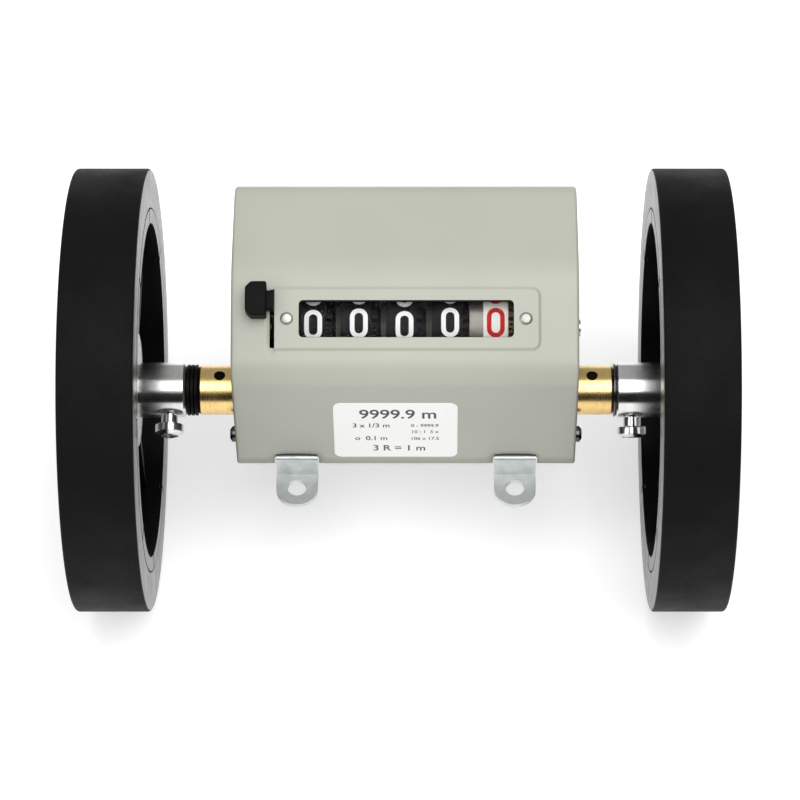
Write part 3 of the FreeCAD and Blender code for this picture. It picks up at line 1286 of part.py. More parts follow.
def export(nodes):
    """Write each sub-part as a STEP file under its own name."""
    os.makedirs("parts", exist_ok=True)
    for node in nodes:
        node.Shape.exportStep(os.path.join("parts", f"{node.Label}.step"))
        print(f"{node.Label}: {len(node.Shape.Solids)} solid(s), {node.Shape.Volume:.1f} mm3")


fill_sheet()
NODES = make_all()
DOC.recompute()
check(NODES)
export(NODES)
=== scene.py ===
"""Looks of a cable length counter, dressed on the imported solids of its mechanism.

Lengths in the piece classes are in millimetres in the shared frame: X runs along the axle
to the right, Y to the back and Z up, with the origin on the axle's axis. Blender's own
objects are in metres.
"""
from __future__ import annotations

import json
import logging
import math
from dataclasses import dataclass, field
from enum import Enum
from functools import lru_cache
from typing import Iterable, Optional, Sequence, Union

import bmesh
import bpy
from mathutils import Matrix, Vector

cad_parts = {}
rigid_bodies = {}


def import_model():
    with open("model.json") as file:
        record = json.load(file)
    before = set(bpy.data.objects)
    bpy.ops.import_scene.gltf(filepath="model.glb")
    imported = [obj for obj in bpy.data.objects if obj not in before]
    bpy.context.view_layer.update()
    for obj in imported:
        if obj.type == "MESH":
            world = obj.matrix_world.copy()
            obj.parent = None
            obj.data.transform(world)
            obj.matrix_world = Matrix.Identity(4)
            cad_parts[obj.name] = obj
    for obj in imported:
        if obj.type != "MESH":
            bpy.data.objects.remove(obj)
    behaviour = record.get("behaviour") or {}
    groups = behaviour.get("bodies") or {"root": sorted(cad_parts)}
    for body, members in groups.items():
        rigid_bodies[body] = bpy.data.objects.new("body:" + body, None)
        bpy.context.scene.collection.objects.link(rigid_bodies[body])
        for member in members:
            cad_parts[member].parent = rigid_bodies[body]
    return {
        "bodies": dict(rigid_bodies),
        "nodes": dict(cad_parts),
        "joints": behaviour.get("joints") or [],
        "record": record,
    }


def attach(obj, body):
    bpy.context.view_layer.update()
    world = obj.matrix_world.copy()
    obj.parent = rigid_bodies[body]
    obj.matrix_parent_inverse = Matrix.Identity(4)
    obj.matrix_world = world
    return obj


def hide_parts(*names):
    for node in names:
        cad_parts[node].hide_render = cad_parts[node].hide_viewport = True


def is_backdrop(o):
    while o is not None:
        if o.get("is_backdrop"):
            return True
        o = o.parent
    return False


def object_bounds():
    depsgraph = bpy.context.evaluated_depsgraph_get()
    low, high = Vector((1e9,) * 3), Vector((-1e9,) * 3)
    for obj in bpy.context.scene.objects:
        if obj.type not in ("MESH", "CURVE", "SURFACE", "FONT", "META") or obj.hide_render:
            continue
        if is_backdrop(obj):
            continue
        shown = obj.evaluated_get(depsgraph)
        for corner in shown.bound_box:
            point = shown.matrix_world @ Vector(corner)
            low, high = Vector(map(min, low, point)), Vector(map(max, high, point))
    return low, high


LOG = logging.getLogger("counter")
MM = 0.001
# Distances and an angle within which points, vertices and faces count as one.
NEAR = 1e-3
SAME_POINT = 1e-5
SAME_VERTEX = 1e-6
FLAT_ANGLE = math.radians(0.6)
# Longest part of a side that the arc at its end may take up.
ARC_SHARE = 0.45
SIDES = (-1, 1)
UPRIGHT = Matrix.Rotation(math.radians(-90), 4, "Y")
WHITE = (1.0, 1.0, 1.0, 1.0)

Colour = tuple[float, float, float]
Point2 = Union[Vector, tuple[float, float]]
Point3 = tuple[float, float, float]
Socket = bpy.types.NodeSocket
Value = Union[Socket, float, tuple[float, ...]]


class Body(str, Enum):
    """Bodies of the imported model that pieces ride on."""

    HOUSING = "housing"
    AXLE = "axle"
    RESET = "reset"


class Slot(str, Enum):
    """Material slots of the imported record."""

    PAINT = "paint"
    ZINC = "zinc"
    STEEL = "steel"
    POLISHED = "polished"
    BRASS = "brass"
    BLACKENED = "blackened"
    BLACK_PLASTIC = "black_plastic"
    WHEEL_BODY = "wheel_body"
    TREAD = "tread"
    LABEL = "label"
    LENS = "lens"
    DRUM_BLACK = "drum_black"
    DRUM_WHITE = "drum_white"
    NYLON = "nylon"
    SPRING = "spring"


class Texture(str, Enum):
    """Surface structures that the finishes share, by the name of their node group."""

    GRAIN = "moulded_grain"
    PEEL = "sprayed_enamel"
    TURNED = "turned_rings"
    BRUSHED = "plated_sheet"


# --------------------------------------------------------------------------- node groups


def wire(tree: bpy.types.NodeTree, node: bpy.types.Node,
         inputs: dict[Union[str, int], Value]) -> None:
    """Link or set the inputs of a node.

    Args:
        tree: The node's tree.
        node: The node.
        inputs: Sockets to link from, or plain values, by the input's name or number.
    """
    for label, value in inputs.items():
        if isinstance(value, bpy.types.NodeSocket):
            tree.links.new(value, node.inputs[label])
        else:
            node.inputs[label].default_value = value


def add_node(tree: bpy.types.NodeTree, kind: str, inputs: dict[Union[str, int], Value],
             **settings: object) -> bpy.types.Node:
    """Add a shader node.

    Args:
        tree: Tree that the node goes into.
        kind: Kind of node.
        inputs: What its inputs take, by their name or number.
        **settings: Settings that the node needs before its inputs.

    Returns:
        The node.
    """
    node = tree.nodes.new("ShaderNode" + kind)
    for name, value in settings.items():
        setattr(node, name, value)
    wire(tree, node, inputs)
    return node


def maths(tree: bpy.types.NodeTree, operation: str, first: Value, second: Value) -> Socket:
    """Work out two sockets or numbers with a maths node."""
    return add_node(tree, "Math", {0: first, 1: second}, operation=operation).outputs[0]


class SurfaceGroup:
    """Node group that mixes two shades and two levels of gloss over a surface."""

    SOCKETS = (("Vector", "INPUT", "Vector"), ("Light", "INPUT", "Color"),
               ("Dark", "INPUT", "Color"), ("Gloss", "INPUT", "Float"),
               ("Dull", "INPUT", "Float"), ("Color", "OUTPUT", "Color"),
               ("Roughness", "OUTPUT", "Float"), ("Height", "OUTPUT", "Float"))

    def __init__(self, texture: Texture) -> None:
        """Make the group with its named sockets and its surface structure.

        Args:
            texture: The structure.
        """
        self.tree = bpy.data.node_groups.new(texture.value, "ShaderNodeTree")
        for label, way, kind in self.SOCKETS:
            self.tree.interface.new_socket(label, in_out=way, socket_type="NodeSocket" + kind)
        self.source = self.tree.nodes.new("NodeGroupInput").outputs
        self.sink = self.tree.nodes.new("NodeGroupOutput")
        getattr(self, texture.value)()

    def noise(self, scale: float, detail: float, roughness: float = 0.5,
              vector: Optional[Socket] = None) -> Socket:
        """Value of a noise with its waves per metre, its octaves and the finer ones' weight."""
        return add_node(self.tree, "TexNoise", {
            "Vector": vector or self.source["Vector"], "Scale": scale, "Detail": detail,
            "Roughness": roughness}).outputs["Fac"]

    def ramp(self, source: Value, low: float, high: float) -> Socket:
        """Stretch a value so that low becomes 0 and high becomes 1, and clamp it."""
        return add_node(self.tree, "MapRange", {
            "Value": source, "From Min": low, "From Max": high}).outputs["Result"]

    def total(self, first: Value, share: float, second: Value, other: float) -> Socket:
        """Add up two values, each times its share."""
        return maths(self.tree, "ADD", maths(self.tree, "MULTIPLY", first, share),
                     maths(self.tree, "MULTIPLY", second, other))

    def finish(self, mask: Value, low: float, high: float, height: Value) -> None:
        """Mix the shades and the gloss by a mask, and put out the height.

        Args:
            mask: Value that parts the two shades.
            low: Where it is this low, the surface has its light shade and its gloss.
            high: Where it is this high, the surface is dark and dull.
            height: Relief of the surface.
        """
        share = self.ramp(mask, low, high)
        shades = add_node(self.tree, "Mix", {
            "Factor": share, "A": self.source["Light"], "B": self.source["Dark"]},
            data_type="RGBA")
        gloss = add_node(self.tree, "MapRange", {
            "Value": share, "To Min": self.source["Gloss"], "To Max": self.source["Dull"]})
        wire(self.tree, self.sink, {"Color": shades.outputs["Result"],
                                    "Roughness": gloss.outputs["Result"], "Height": height})

    def moulded_grain(self) -> None:
        """Moulded plastic or rubber: fine pits over soft mottling."""
        pits = self.ramp(self.noise(scale=1500, detail=4, roughness=0.65), 0.35, 0.75)
        mottling = self.total(self.noise(scale=90, detail=3), 1.0, pits, 0.25)
        relief = self.total(self.noise(scale=5200, detail=2), 0.4, pits, 1.0)
        self.finish(mottling, 0.35, 0.9, relief)

    def sprayed_enamel(self) -> None:
        """Sprayed enamel: shallow orange peel with rare dust specks."""
        peel = self.noise(scale=620, detail=2, roughness=0.4)
        specks = self.ramp(self.noise(scale=900, detail=1), 0.72, 0.80)
        broad = self.total(self.noise(scale=28, detail=2), 1.0, specks, 0.2)
        self.finish(broad, 0.3, 0.8, self.total(peel, 1.0, specks, 0.5))

    def turned_rings(self) -> None:
        """Metal turned about X: fine rings along X and around the axis on end faces."""
        split = add_node(self.tree, "SeparateXYZ", {0: self.source["Vector"]}).outputs
        squares = [maths(self.tree, "POWER", split[axis], 2.0) for axis in "YZ"]
        reach = maths(self.tree, "SQRT", maths(self.tree, "ADD", *squares), 0.0)
        join = add_node(self.tree, "CombineXYZ", {"X": split["X"], "Y": reach})
        rings = self.noise(scale=4200, detail=3, roughness=0.7, vector=join.outputs[0])
        stains = self.noise(scale=260, detail=4, roughness=0.6)
        self.finish(self.total(rings, 0.5, stains, 0.6), 0.35, 0.8, rings)

    def plated_sheet(self) -> None:
        """Plated sheet: crossing hairlines and cloudy spangle."""
        stretch = add_node(self.tree, "Mapping", {
            "Vector": self.source["Vector"], "Scale": (1.0, 14.0, 14.0)})
        lines = self.noise(scale=320, detail=3, roughness=0.7, vector=stretch.outputs[0])
        clouds = self.noise(scale=420, detail=3, roughness=0.6)
        self.finish(self.total(clouds, 0.7, lines, 0.3), 0.3, 0.75,
                    self.total(lines, 1.0, clouds, 0.4))


@lru_cache(maxsize=None)
def surface_tree(texture: Texture) -> bpy.types.NodeTree:
    """Give a texture's node group, which is built once."""
    return SurfaceGroup(texture).tree


# --------------------------------------------------------------------------- finishes


def srgb(*levels: int) -> Colour:
    """Turn red, green and blue as seen on screen, from 0 to 255, into linear values."""
    return tuple(level / 255 / 12.92 if level / 255 <= 0.04045
                 else ((level / 255 + 0.055) / 1.055) ** 2.4 for level in levels)


@dataclass(frozen=True)
class Finish:
    """One material: two shades mixed by a surface structure, with its own gloss."""

    name: str
    light: Colour
    dark: Colour
    texture: Texture
    gloss: float
    dull: float
    bump: float
    metallic: float = 0.0
    specular: float = 0.5
    alpha: float = 1.0

    def material(self) -> bpy.types.Material:
        """Build the material, or give the one already built.

        Returns:
            The material.
        """
        known = bpy.data.materials.get(self.name)
        if known is not None:
            return known
        material = bpy.data.materials.new(self.name)
        material.use_nodes = True
        tree = material.node_tree
        surface = add_node(tree, "Group", {
            "Vector": add_node(tree, "TexCoord", {}).outputs["Object"],
            "Light": (*self.light, 1.0), "Dark": (*self.dark, 1.0),
            "Gloss": self.gloss, "Dull": self.dull}, node_tree=surface_tree(self.texture))
        relief = add_node(tree, "Bump", {"Height": surface.outputs["Height"], "Strength": 1.0,
                                         "Distance": self.bump * MM})
        wire(tree, tree.nodes["Principled BSDF"], {
            "Base Color": surface.outputs["Color"], "Roughness": surface.outputs["Roughness"],
            "Normal": relief.outputs["Normal"], "Metallic": self.metallic,
            "Specular IOR Level": self.specular, "Alpha": self.alpha})
        return material


class Finishes:
    """All finishes, by what they cover."""

    PAINT = Finish("case_enamel", srgb(174, 175, 163), srgb(167, 169, 157), Texture.PEEL,
                   0.42, 0.50, 0.006)
    ZINC = Finish("zinc_plate", srgb(206, 210, 209), srgb(184, 188, 188), Texture.BRUSHED,
                  0.38, 0.52, 0.003, metallic=0.9)
    STEEL = Finish("turned_steel", srgb(205, 206, 208), srgb(168, 169, 171), Texture.TURNED,
                   0.22, 0.34, 0.002, metallic=1.0)
    POLISHED = Finish("polished_nickel", srgb(225, 224, 222), srgb(196, 195, 194),
                      Texture.TURNED, 0.14, 0.22, 0.0012, metallic=1.0)
    BRASS = Finish("turned_brass", srgb(230, 201, 138), srgb(210, 176, 112), Texture.TURNED,
                   0.22, 0.34, 0.002, metallic=1.0)
    BLACKENED = Finish("black_oxide", srgb(38, 38, 40), srgb(24, 24, 25), Texture.GRAIN,
                       0.22, 0.34, 0.002, specular=0.7)
    BRIGHT_SCREW = Finish("bright_screw", srgb(222, 223, 225), srgb(188, 190, 193),
                          Texture.GRAIN, 0.14, 0.26, 0.001, metallic=1.0)
    # Steel darkened as painted shade, for the cover screws and for the washer in the gap beside
    # the bush.
    DARK_STEEL = Finish("painted_shade_steel", srgb(96, 98, 102), srgb(62, 64, 67), Texture.GRAIN,
                        0.18, 0.30, 0.001, metallic=1.0)
    # Brass darker than the bushes', for the drive gear inside the window.
    AGED_BRASS = Finish("darker_brass", srgb(112, 88, 50), srgb(58, 44, 26), Texture.GRAIN,
                        0.34, 0.50, 0.002, metallic=0.7)
    # Near-black discs set in the oil holes as painted shade of the deep holes.
    OILED_FELT = Finish("oil_hole_shade", srgb(26, 20, 12), srgb(14, 11, 8), Texture.GRAIN,
                        0.75, 0.9, 0.05, specular=0.1)
    RIVET = Finish("aluminium_rivet", srgb(164, 164, 160), srgb(146, 146, 142),
                   Texture.GRAIN, 0.26, 0.36, 0.001, metallic=0.7, specular=0.3)
    SATIN = Finish("satin_aluminium", srgb(132, 130, 124), srgb(104, 102, 97),
                   Texture.TURNED, 0.38, 0.50, 0.002, metallic=1.0)
    BLACK_PLASTIC = Finish("black_moulding", srgb(12, 12, 13), srgb(7, 7, 8),
                           Texture.GRAIN, 0.42, 0.55, 0.006, specular=0.07)
    WHEEL_BODY = Finish("wheel_moulding", srgb(10, 10, 11), srgb(6, 6, 7),
                        Texture.GRAIN, 0.30, 0.42, 0.004, specular=0.1)
    TREAD = Finish("tread_rubber", srgb(14, 14, 14), srgb(8, 8, 8), Texture.GRAIN,
                   0.55, 0.72, 0.02, specular=0.1)
    # Side faces of tyre and rim: glossier, which is real, and lighter than the rubber and
    # moulding, which is painted sheen.
    SIDEWALL = Finish("side_sheen_rubber", srgb(38, 38, 38), srgb(25, 25, 25), Texture.TURNED,
                      0.22, 0.38, 0.008)
    LABEL = Finish("label_film", srgb(247, 247, 245), srgb(243, 243, 240), Texture.PEEL,
                   0.38, 0.46, 0.001)
    LABEL_INK = Finish("label_ink", srgb(52, 52, 56), srgb(70, 70, 74), Texture.GRAIN,
                       0.5, 0.6, 0.0005)
    LENS = Finish("window_sheet", srgb(18, 19, 20), srgb(12, 13, 14), Texture.PEEL,
                  0.03, 0.05, 0.0003, specular=0.3, alpha=0.05)
    DRUM_BLACK = Finish("black_lacquer", srgb(17, 18, 21), srgb(11, 12, 14), Texture.GRAIN,
                        0.36, 0.48, 0.002, specular=0.1)
    DRUM_WHITE = Finish("white_lacquer", srgb(240, 238, 232), srgb(230, 227, 220),
                        Texture.GRAIN, 0.34, 0.46, 0.002)
    FIGURE_WHITE = Finish("figure_white", srgb(255, 255, 254), srgb(250, 250, 249),
                          Texture.GRAIN, 0.42, 0.52, 0.001)
    FIGURE_RED = Finish("figure_red", srgb(200, 22, 14), srgb(184, 16, 10), Texture.GRAIN,
                        0.5, 0.6, 0.001, specular=0.2)
    # Nylon darker than its natural cream.
    NYLON = Finish("darker_nylon", srgb(138, 135, 125), srgb(104, 101, 92),
                   Texture.GRAIN, 0.38, 0.5, 0.003)
    SPRING = Finish("spring_wire", srgb(190, 190, 192), srgb(150, 150, 153),
                    Texture.BRUSHED, 0.24, 0.36, 0.001, metallic=1.0)
    FLOOR = Finish("floor_paper", (0.90, 0.90, 0.90), (0.88, 0.88, 0.88), Texture.GRAIN,
                   0.85, 0.95, 0.002, specular=0.1)
    CARD = Finish("card_felt", srgb(34, 31, 28), srgb(24, 22, 20), Texture.GRAIN, 0.9, 1.0,
                  0.01, specular=0.0)


SLOT_FINISH: dict[Slot, Finish] = {slot: getattr(Finishes, slot.name) for slot in Slot}


# --------------------------------------------------------------------------- meshes


def released(work: bmesh.types.BMesh) -> bpy.types.Mesh:
    """Turn a bmesh into a mesh as it is, and free it.

    Args:
        work: The bmesh.

    Returns:
        The mesh.
    """
    mesh = bpy.data.meshes.new("piece")
    work.to_mesh(mesh)
    work.free()
    return mesh


def solid(work: bmesh.types.BMesh, place: Optional[Matrix] = None) -> bpy.types.Mesh:
    """Close a bmesh built in millimetres and turn it into a mesh in metres.

    Args:
        work: The bmesh; it is freed.
        place: A place in millimetres, or None.

    Returns:
        The mesh.
    """
    bmesh.ops.remove_doubles(work, verts=work.verts, dist=SAME_POINT)
    bmesh.ops.recalc_face_normals(work, faces=work.faces)
    mesh = released(work)
    mesh.transform(Matrix.Scale(MM, 4) @ (place or Matrix()))
    return mesh


def joined(parts: Iterable[bpy.types.Mesh]) -> bpy.types.Mesh:
    """Join meshes into one.

    Args:
        parts: The meshes; they are removed.

    Returns:
        The whole.
    """
    work = bmesh.new()
    for part in parts:
        work.from_mesh(part)
        bpy.data.meshes.remove(part)
    return released(work)


def lathe(profile: Sequence[Point2], segments: int = 128) -> bmesh.types.BMesh:
    """Turn a closed profile about the X axis.

    Args:
        profile: Corners as (station, radius) in millimetres, in order around the section.
        segments: Steps around.

    Returns:
        The turned solid.
    """
    work = bmesh.new()
    turns = [math.tau * step / segments for step in range(segments)]
    rings = [[work.verts.new((station, radius * math.cos(turn), radius * math.sin(turn)))
              for turn in turns] for station, radius in profile]
    for ring, following in zip(rings, rings[1:] + rings[:1]):
        for step in range(segments):
            after = (step + 1) % segments
            work.faces.new((ring[step], ring[after], following[after], following[step]))
    bmesh.ops.dissolve_degenerate(work, dist=SAME_VERTEX, edges=work.edges)
    return work


def plate(outline: Sequence[Point2], low: float, high: float,
          holes: Iterable[Sequence[Point2]] = ()) -> bmesh.types.BMesh:
    """Extrude a flat outline, with holes, between two heights along Z.

    Args:
        outline: Outer corners as (x, y) in millimetres.
        low: Lower height.
        high: Upper height.
        holes: Inner outlines.

    Returns:
        The closed solid.
    """
    work = bmesh.new()
    edges = []
    for loop in (outline, *holes):
        corners = [work.verts.new((x, y, low)) for x, y in loop]
        edges += [work.edges.new(pair) for pair in zip(corners, corners[1:] + corners[:1])]
    bmesh.ops.triangle_fill(work, use_beauty=True, use_dissolve=False, edges=edges)
    raised = bmesh.ops.extrude_face_region(work, geom=list(work.faces))["geom"]
    top = [item for item in raised if isinstance(item, bmesh.types.BMVert)]
    bmesh.ops.translate(work, verts=top, vec=(0, 0, high - low))
    return work


def rectangle(width: float, height: float, x: float = 0.0, y: float = 0.0) -> list[Point2]:
    """Give the corners of a rectangle round (x, y), counter-clockwise."""
    return [(x + across * width / 2, y + up * height / 2)
            for across, up in ((-1, -1), (1, -1), (1, 1), (-1, 1))]


def corner_arc(before: Vector, corner: Vector, after: Vector, radius: float,
               steps: int) -> list[Vector]:
    """Round a corner.

    Args:
        before: Point before the corner.
        corner: The corner.
        after: Point after the corner.
        radius: Radius of the arc, cut down where a side is short.
        steps: Pieces of the arc.

    Returns:
        The arc's points.
    """
    first, second = before - corner, after - corner
    half = first.angle(second) / 2
    reach = min(radius / math.tan(half), first.length * ARC_SHARE, second.length * ARC_SHARE)
    first.normalize()
    second.normalize()
    centre = corner + (first + second).normalized() * (reach / math.cos(half))
    start, end = corner + first * reach - centre, corner + second * reach - centre
    turn = -start.angle_signed(end) / steps
    return [centre + Matrix.Rotation(turn * step, 2) @ start for step in range(steps + 1)]


def rounded(profile: Sequence[Point2], radius: float, steps: int) -> list[Vector]:
    """Round every corner of a closed outline.

    Args:
        profile: The corners.
        radius: Radius of the corners, cut down where a side is short.
        steps: Pieces per corner.

    Returns:
        The new outline.
    """
    points = [Vector(point) for point in profile]
    result: list[Vector] = []
    for index, corner in enumerate(points):
        after = points[(index + 1) % len(points)]
        result += corner_arc(points[index - 1], corner, after, radius, steps)
    return result


def soften(piece: bpy.types.Object, width: float, segments: int,
           angle: float = 35.0) -> None:
    """Break a piece's hard edges with a bevel.

    Args:
        piece: The piece.
        width: Width in millimetres.
        segments: Steps across the bevel.
        angle: Edges above this angle, in degrees, are broken.
    """
    edge = piece.modifiers.new("broken_edges", "BEVEL")
    edge.width = width * MM
    edge.segments = segments
    edge.limit_method = "ANGLE"
    edge.angle_limit = math.radians(angle)
    edge.harden_normals = True


# --------------------------------------------------------------------------- workshop


class Workshop:
    """Makes pieces, gives them their finish and lets them ride on their bodies."""

    def __init__(self, frame: dict) -> None:
        """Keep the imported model.
        """
        self.nodes: dict[str, bpy.types.Object] = frame["nodes"]
        record = frame["record"]
        self.slot_of = {row["node"]: Slot(row["material_slot"]) for row in record["subparts"]}
        self.body_of = {node: body for body, members in record["behaviour"]["bodies"].items()
                        for node in members}
        self.dressed: set[str] = set()

    def add(self, name: str, mesh: bpy.types.Mesh, finish: Finish, body: str, slot: Slot,
            replaces: Sequence[str] = (), smooth: float = 35.0) -> bpy.types.Object:
        """Put a new piece on a body.

        Args:
            name: Name of the piece.
            mesh: Its mesh, in metres in the shared frame.
            finish: Its finish.
            body: The body that it rides on.
            slot: The record's material slot; not used.
            replaces: CAD nodes that it stands for.
            smooth: Edges below this angle, in degrees, are shaded smooth.

        Returns:
            The piece.
        """
        mesh.name = name
        mesh.materials.clear()
        mesh.materials.append(finish.material())
        mesh.polygons.foreach_set("use_smooth", [True] * len(mesh.polygons))
        mesh.set_sharp_from_angle(angle=math.radians(smooth))
        mesh.update()
        piece = bpy.data.objects.new(name, mesh)
        bpy.context.scene.collection.objects.link(piece)
        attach(piece, body)
        if replaces:
            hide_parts(*replaces)
            self.dressed.update(replaces)
        LOG.info("piece %s: %d faces on %s", name, len(mesh.polygons), body)
        return piece

    def machined(self, node: str, bevel: float,
                 finish: Optional[Finish] = None) -> bpy.types.Object:
        """Stand in for a CAD node with a copy whose sharp edges are broken.

        Args:
            node: The node.
            bevel: Width of the broken edges in millimetres.
            finish: The finish, or None for the slot's own.

        Returns:
            The piece.
        """
        work = bmesh.new()
        work.from_mesh(self.nodes[node].data)
        bmesh.ops.remove_doubles(work, verts=work.verts, dist=SAME_VERTEX)
        bmesh.ops.dissolve_limit(work, angle_limit=FLAT_ANGLE, verts=work.verts,
                                 edges=work.edges, use_dissolve_boundaries=False)
        slot = self.slot_of[node]
        piece = self.add(node + "_looks", released(work), finish or SLOT_FINISH[slot],
                         self.body_of[node], slot, (node,))
        soften(piece, bevel, segments=2, angle=32.0)
        flat = piece.modifiers.new("flat_faces", "WEIGHTED_NORMAL")
        flat.keep_sharp = True
        return piece

    def dress_rest(self, special: dict[str, Finish]) -> None:
        """Give every CAD node that stays in view its slot's finish.

        Args:
            special: Finishes of the nodes that differ from their slot.
        """
        for name, node in sorted(self.nodes.items()):
            if name in self.dressed:
                continue
            finish = special.get(name, SLOT_FINISH[self.slot_of[name]])
            node.data.materials.clear()
            node.data.materials.append(finish.material())
            for polygon in node.data.polygons:
                polygon.material_index = 0
            LOG.info("node %s keeps its own mesh", name)


# --------------------------------------------------------------------------- the counter


@dataclass
class Layout:
    """Places that several sub-assemblies share, in millimetres."""

    case_left: float = -39.3
    case_right: float = 41.7
    case_front: float = 14.0
    case_back: float = 36.0
    case_top: float = 36.8
    case_bottom: float = 10.6
    tilt: float = math.radians(30)
    lean: float = math.radians(18.5)
    gear_centres: float = 18.0
    display_depth: float = 15.95
    panel_rise: float = 0.5
    panel_height: float = 13.7
    slot_left: float = -31.45
    slot_right: float = -30.35

    @property
    def middle(self) -> float:
        """Station of the case's middle."""
        return (self.case_left + self.case_right) / 2

    @property
    def drum_axis(self) -> Vector:
        """Point of the drums' axis at station 0."""
        return Vector((0.0, math.sin(self.lean), math.cos(self.lean))) * self.gear_centres

    @property
    def display(self) -> Matrix:
        """Place of the display: x along the case, y up the slope, z out of the face."""
        depth = Matrix.Translation((0.0, 0.0, self.display_depth))
        return Matrix.Translation(self.drum_axis) @ Matrix.Rotation(self.tilt, 4, "X") @ depth


@dataclass
class CaseShell:
    """Sheet-metal hood: one bent sheet with the display's opening, the lever's slot, dents above
    the feet and soft edges.
    """

    layout: Layout
    sheet: float = 0.8
    bends: tuple[tuple[float, int], ...] = ((8.0, 20), (17.0, 20), (6.0, 16))
    edge: float = 0.75
    edge_steps: int = 5
    notch_half: float = 5.3
    notch_top: float = -7.4
    hem: float = 1.0
    foot_spacing: float = 52.3
    slot_half: float = 6.2
    slot_steps: int = 24
    press_depth: float = 0.6
    press_half: float = 5.4
    press_fade: float = 4.0
    press_rows: int = 12
    row_height: float = 1.3
    column_width: float = 1.5
    opening: tuple[float, float, float, float] = (-29.4, 29.6, -5.3, 5.3)

    @property
    def feet(self) -> list[float]:
        """Stations of the feet."""
        return [self.layout.middle + side * self.foot_spacing / 2 for side in SIDES]

    def section(self, inset: float) -> list[Vector]:
        """Outline of the hood from its front lower edge to its back lower edge.

        Args:
            inset: How far the outline is moved inwards.

        Returns:
            Points as (y, z).
        """
        lay = self.layout
        axis = lay.drum_axis
        front, back = inset - lay.case_front, lay.case_back - inset
        top, low = lay.case_top - inset, -lay.case_bottom
        depth = lay.display_depth - inset
        bend = axis.z + (depth + math.sin(lay.tilt) * (front - axis.y)) / math.cos(lay.tilt)
        brow = axis.y + (math.cos(lay.tilt) * (top - axis.z) - depth) / math.sin(lay.tilt)
        turns = [Vector(point) for point in (
            (front, low), (front, bend), (brow, top), (back, top), (back, low))]
        points = turns[:1]
        for index, (radius, steps) in enumerate(self.bends):
            points += corner_arc(*turns[index:index + 3], radius - inset, steps)
        return points + turns[-1:]

    def pressing(self, x: float, y: float, z: float) -> float:
        """How far a point of the sheet is pressed in, on the front wall above the feet.

        Args:
            x: Station.
            y: Depth.
            z: Height.

        Returns:
            Depth in millimetres.
        """
        if y > NEAR - self.layout.case_front:
            return 0.0
        up = (z - self.notch_top) / self.press_fade
        return sum(self.press_depth * math.exp(-(((x - foot) / self.press_half) ** 4) - up * up)
                   for foot in self.feet)

    def stations(self) -> list[float]:
        """Stations of the sheet's columns, with one on every cut-out's edge.

        Returns:
            The stations from left to right.
        """
        lay = self.layout
        lines = [lay.case_left + self.edge, lay.case_right - self.edge]
        lines += [lay.middle + x for x in (*self.opening[:2], lay.slot_left, lay.slot_right)]
        lines += [foot + side * self.notch_half for foot in self.feet for side in SIDES]
        lines.sort()
        result: list[float] = []
        for start, end in zip(lines, lines[1:]):
            steps = max(1, round((end - start) / self.column_width))
            result += [start + (end - start) * k / steps for k in range(steps)]
        return result + lines[-1:]

    def cut_away(self, spot: Vector) -> bool:
        """Tell whether a point lies in the display's opening, the lever's slot or a notch.

        Args:
            spot: A point of the sheet.

        Returns:
            True where the sheet is cut away.
        """
        lay = self.layout
        local = lay.display.inverted() @ spot
        across = spot.x - lay.middle
        left, right, low, high = self.opening
        slot = (lay.slot_left < across < lay.slot_right
                and abs(local.y) < lay.panel_height / 2)
        window = left < across < right and low < local.y < high
        if abs(local.z) < self.sheet / 2 and (slot or window):
            return True
        inside = self.hem - lay.case_front < spot.y < lay.case_back - self.hem
        if inside or spot.z > self.notch_top:
            return False
        return any(abs(spot.x - foot) < self.notch_half for foot in self.feet)

    @staticmethod
    def on_line(start: Vector, end: Vector, point: Vector) -> bool:
        """Tell whether a point lies between two others on their line."""
        first, second = (point - start).length, (point - end).length
        return first + second - (end - start).length < NEAR < min(first, second)

    def split_section(self, inset: float) -> list[Vector]:
        """The outline with extra points on the notches' and the opening's edges.

        Args:
            inset: How far the outline is moved inwards.

        Returns:
            Points as (y, z).
        """
        base = self.section(inset)
        half = self.layout.panel_height / 2
        extra = [Vector((end.x, self.notch_top + self.row_height * row))
                 for row in range(self.press_rows) for end in (base[0], base[-1])]
        extra += [(self.layout.display @ Vector((0.0, along, -inset))).yz
                  for along in (-half, *self.opening[2:], half)]
        result = base[:1]
        for start, end in zip(base, base[1:]):
            between = [point for point in extra if self.on_line(start, end, point)]
            result += sorted(between, key=lambda point: (point - start).length) + [end]
        return result

    def build(self, shop: Workshop) -> None:
        """Build the hood with its side walls.

        Args:
            shop: Makes the pieces.
        """
        work = bmesh.new()
        outer = self.split_section(0.0)
        columns = [[work.verts.new((x, y + self.pressing(x, y, z), z)) for y, z in outer]
                   for x in self.stations()]
        for left, right in zip(columns, columns[1:]):
            for index in range(len(outer) - 1):
                corners = (left[index], right[index], right[index + 1], left[index + 1])
                if not self.cut_away(sum((corner.co for corner in corners), Vector()) / 4):
                    work.faces.new(corners)
        for side, rim in zip(SIDES, (columns[0], columns[-1])):
            self.close_side(work, side, rim)
        loose = [vert for vert in work.verts if not vert.link_faces]
        bmesh.ops.delete(work, geom=loose, context="VERTS")
        piece = shop.add("case_shell", solid(work), Finishes.PAINT, Body.HOUSING.value,
                         Slot.PAINT, ("cover",), smooth=40.0)
        wall = piece.modifiers.new("wall", "SOLIDIFY")
        wall.thickness = self.sheet * MM
        wall.use_even_offset = True
        wall.use_quality_normals = True

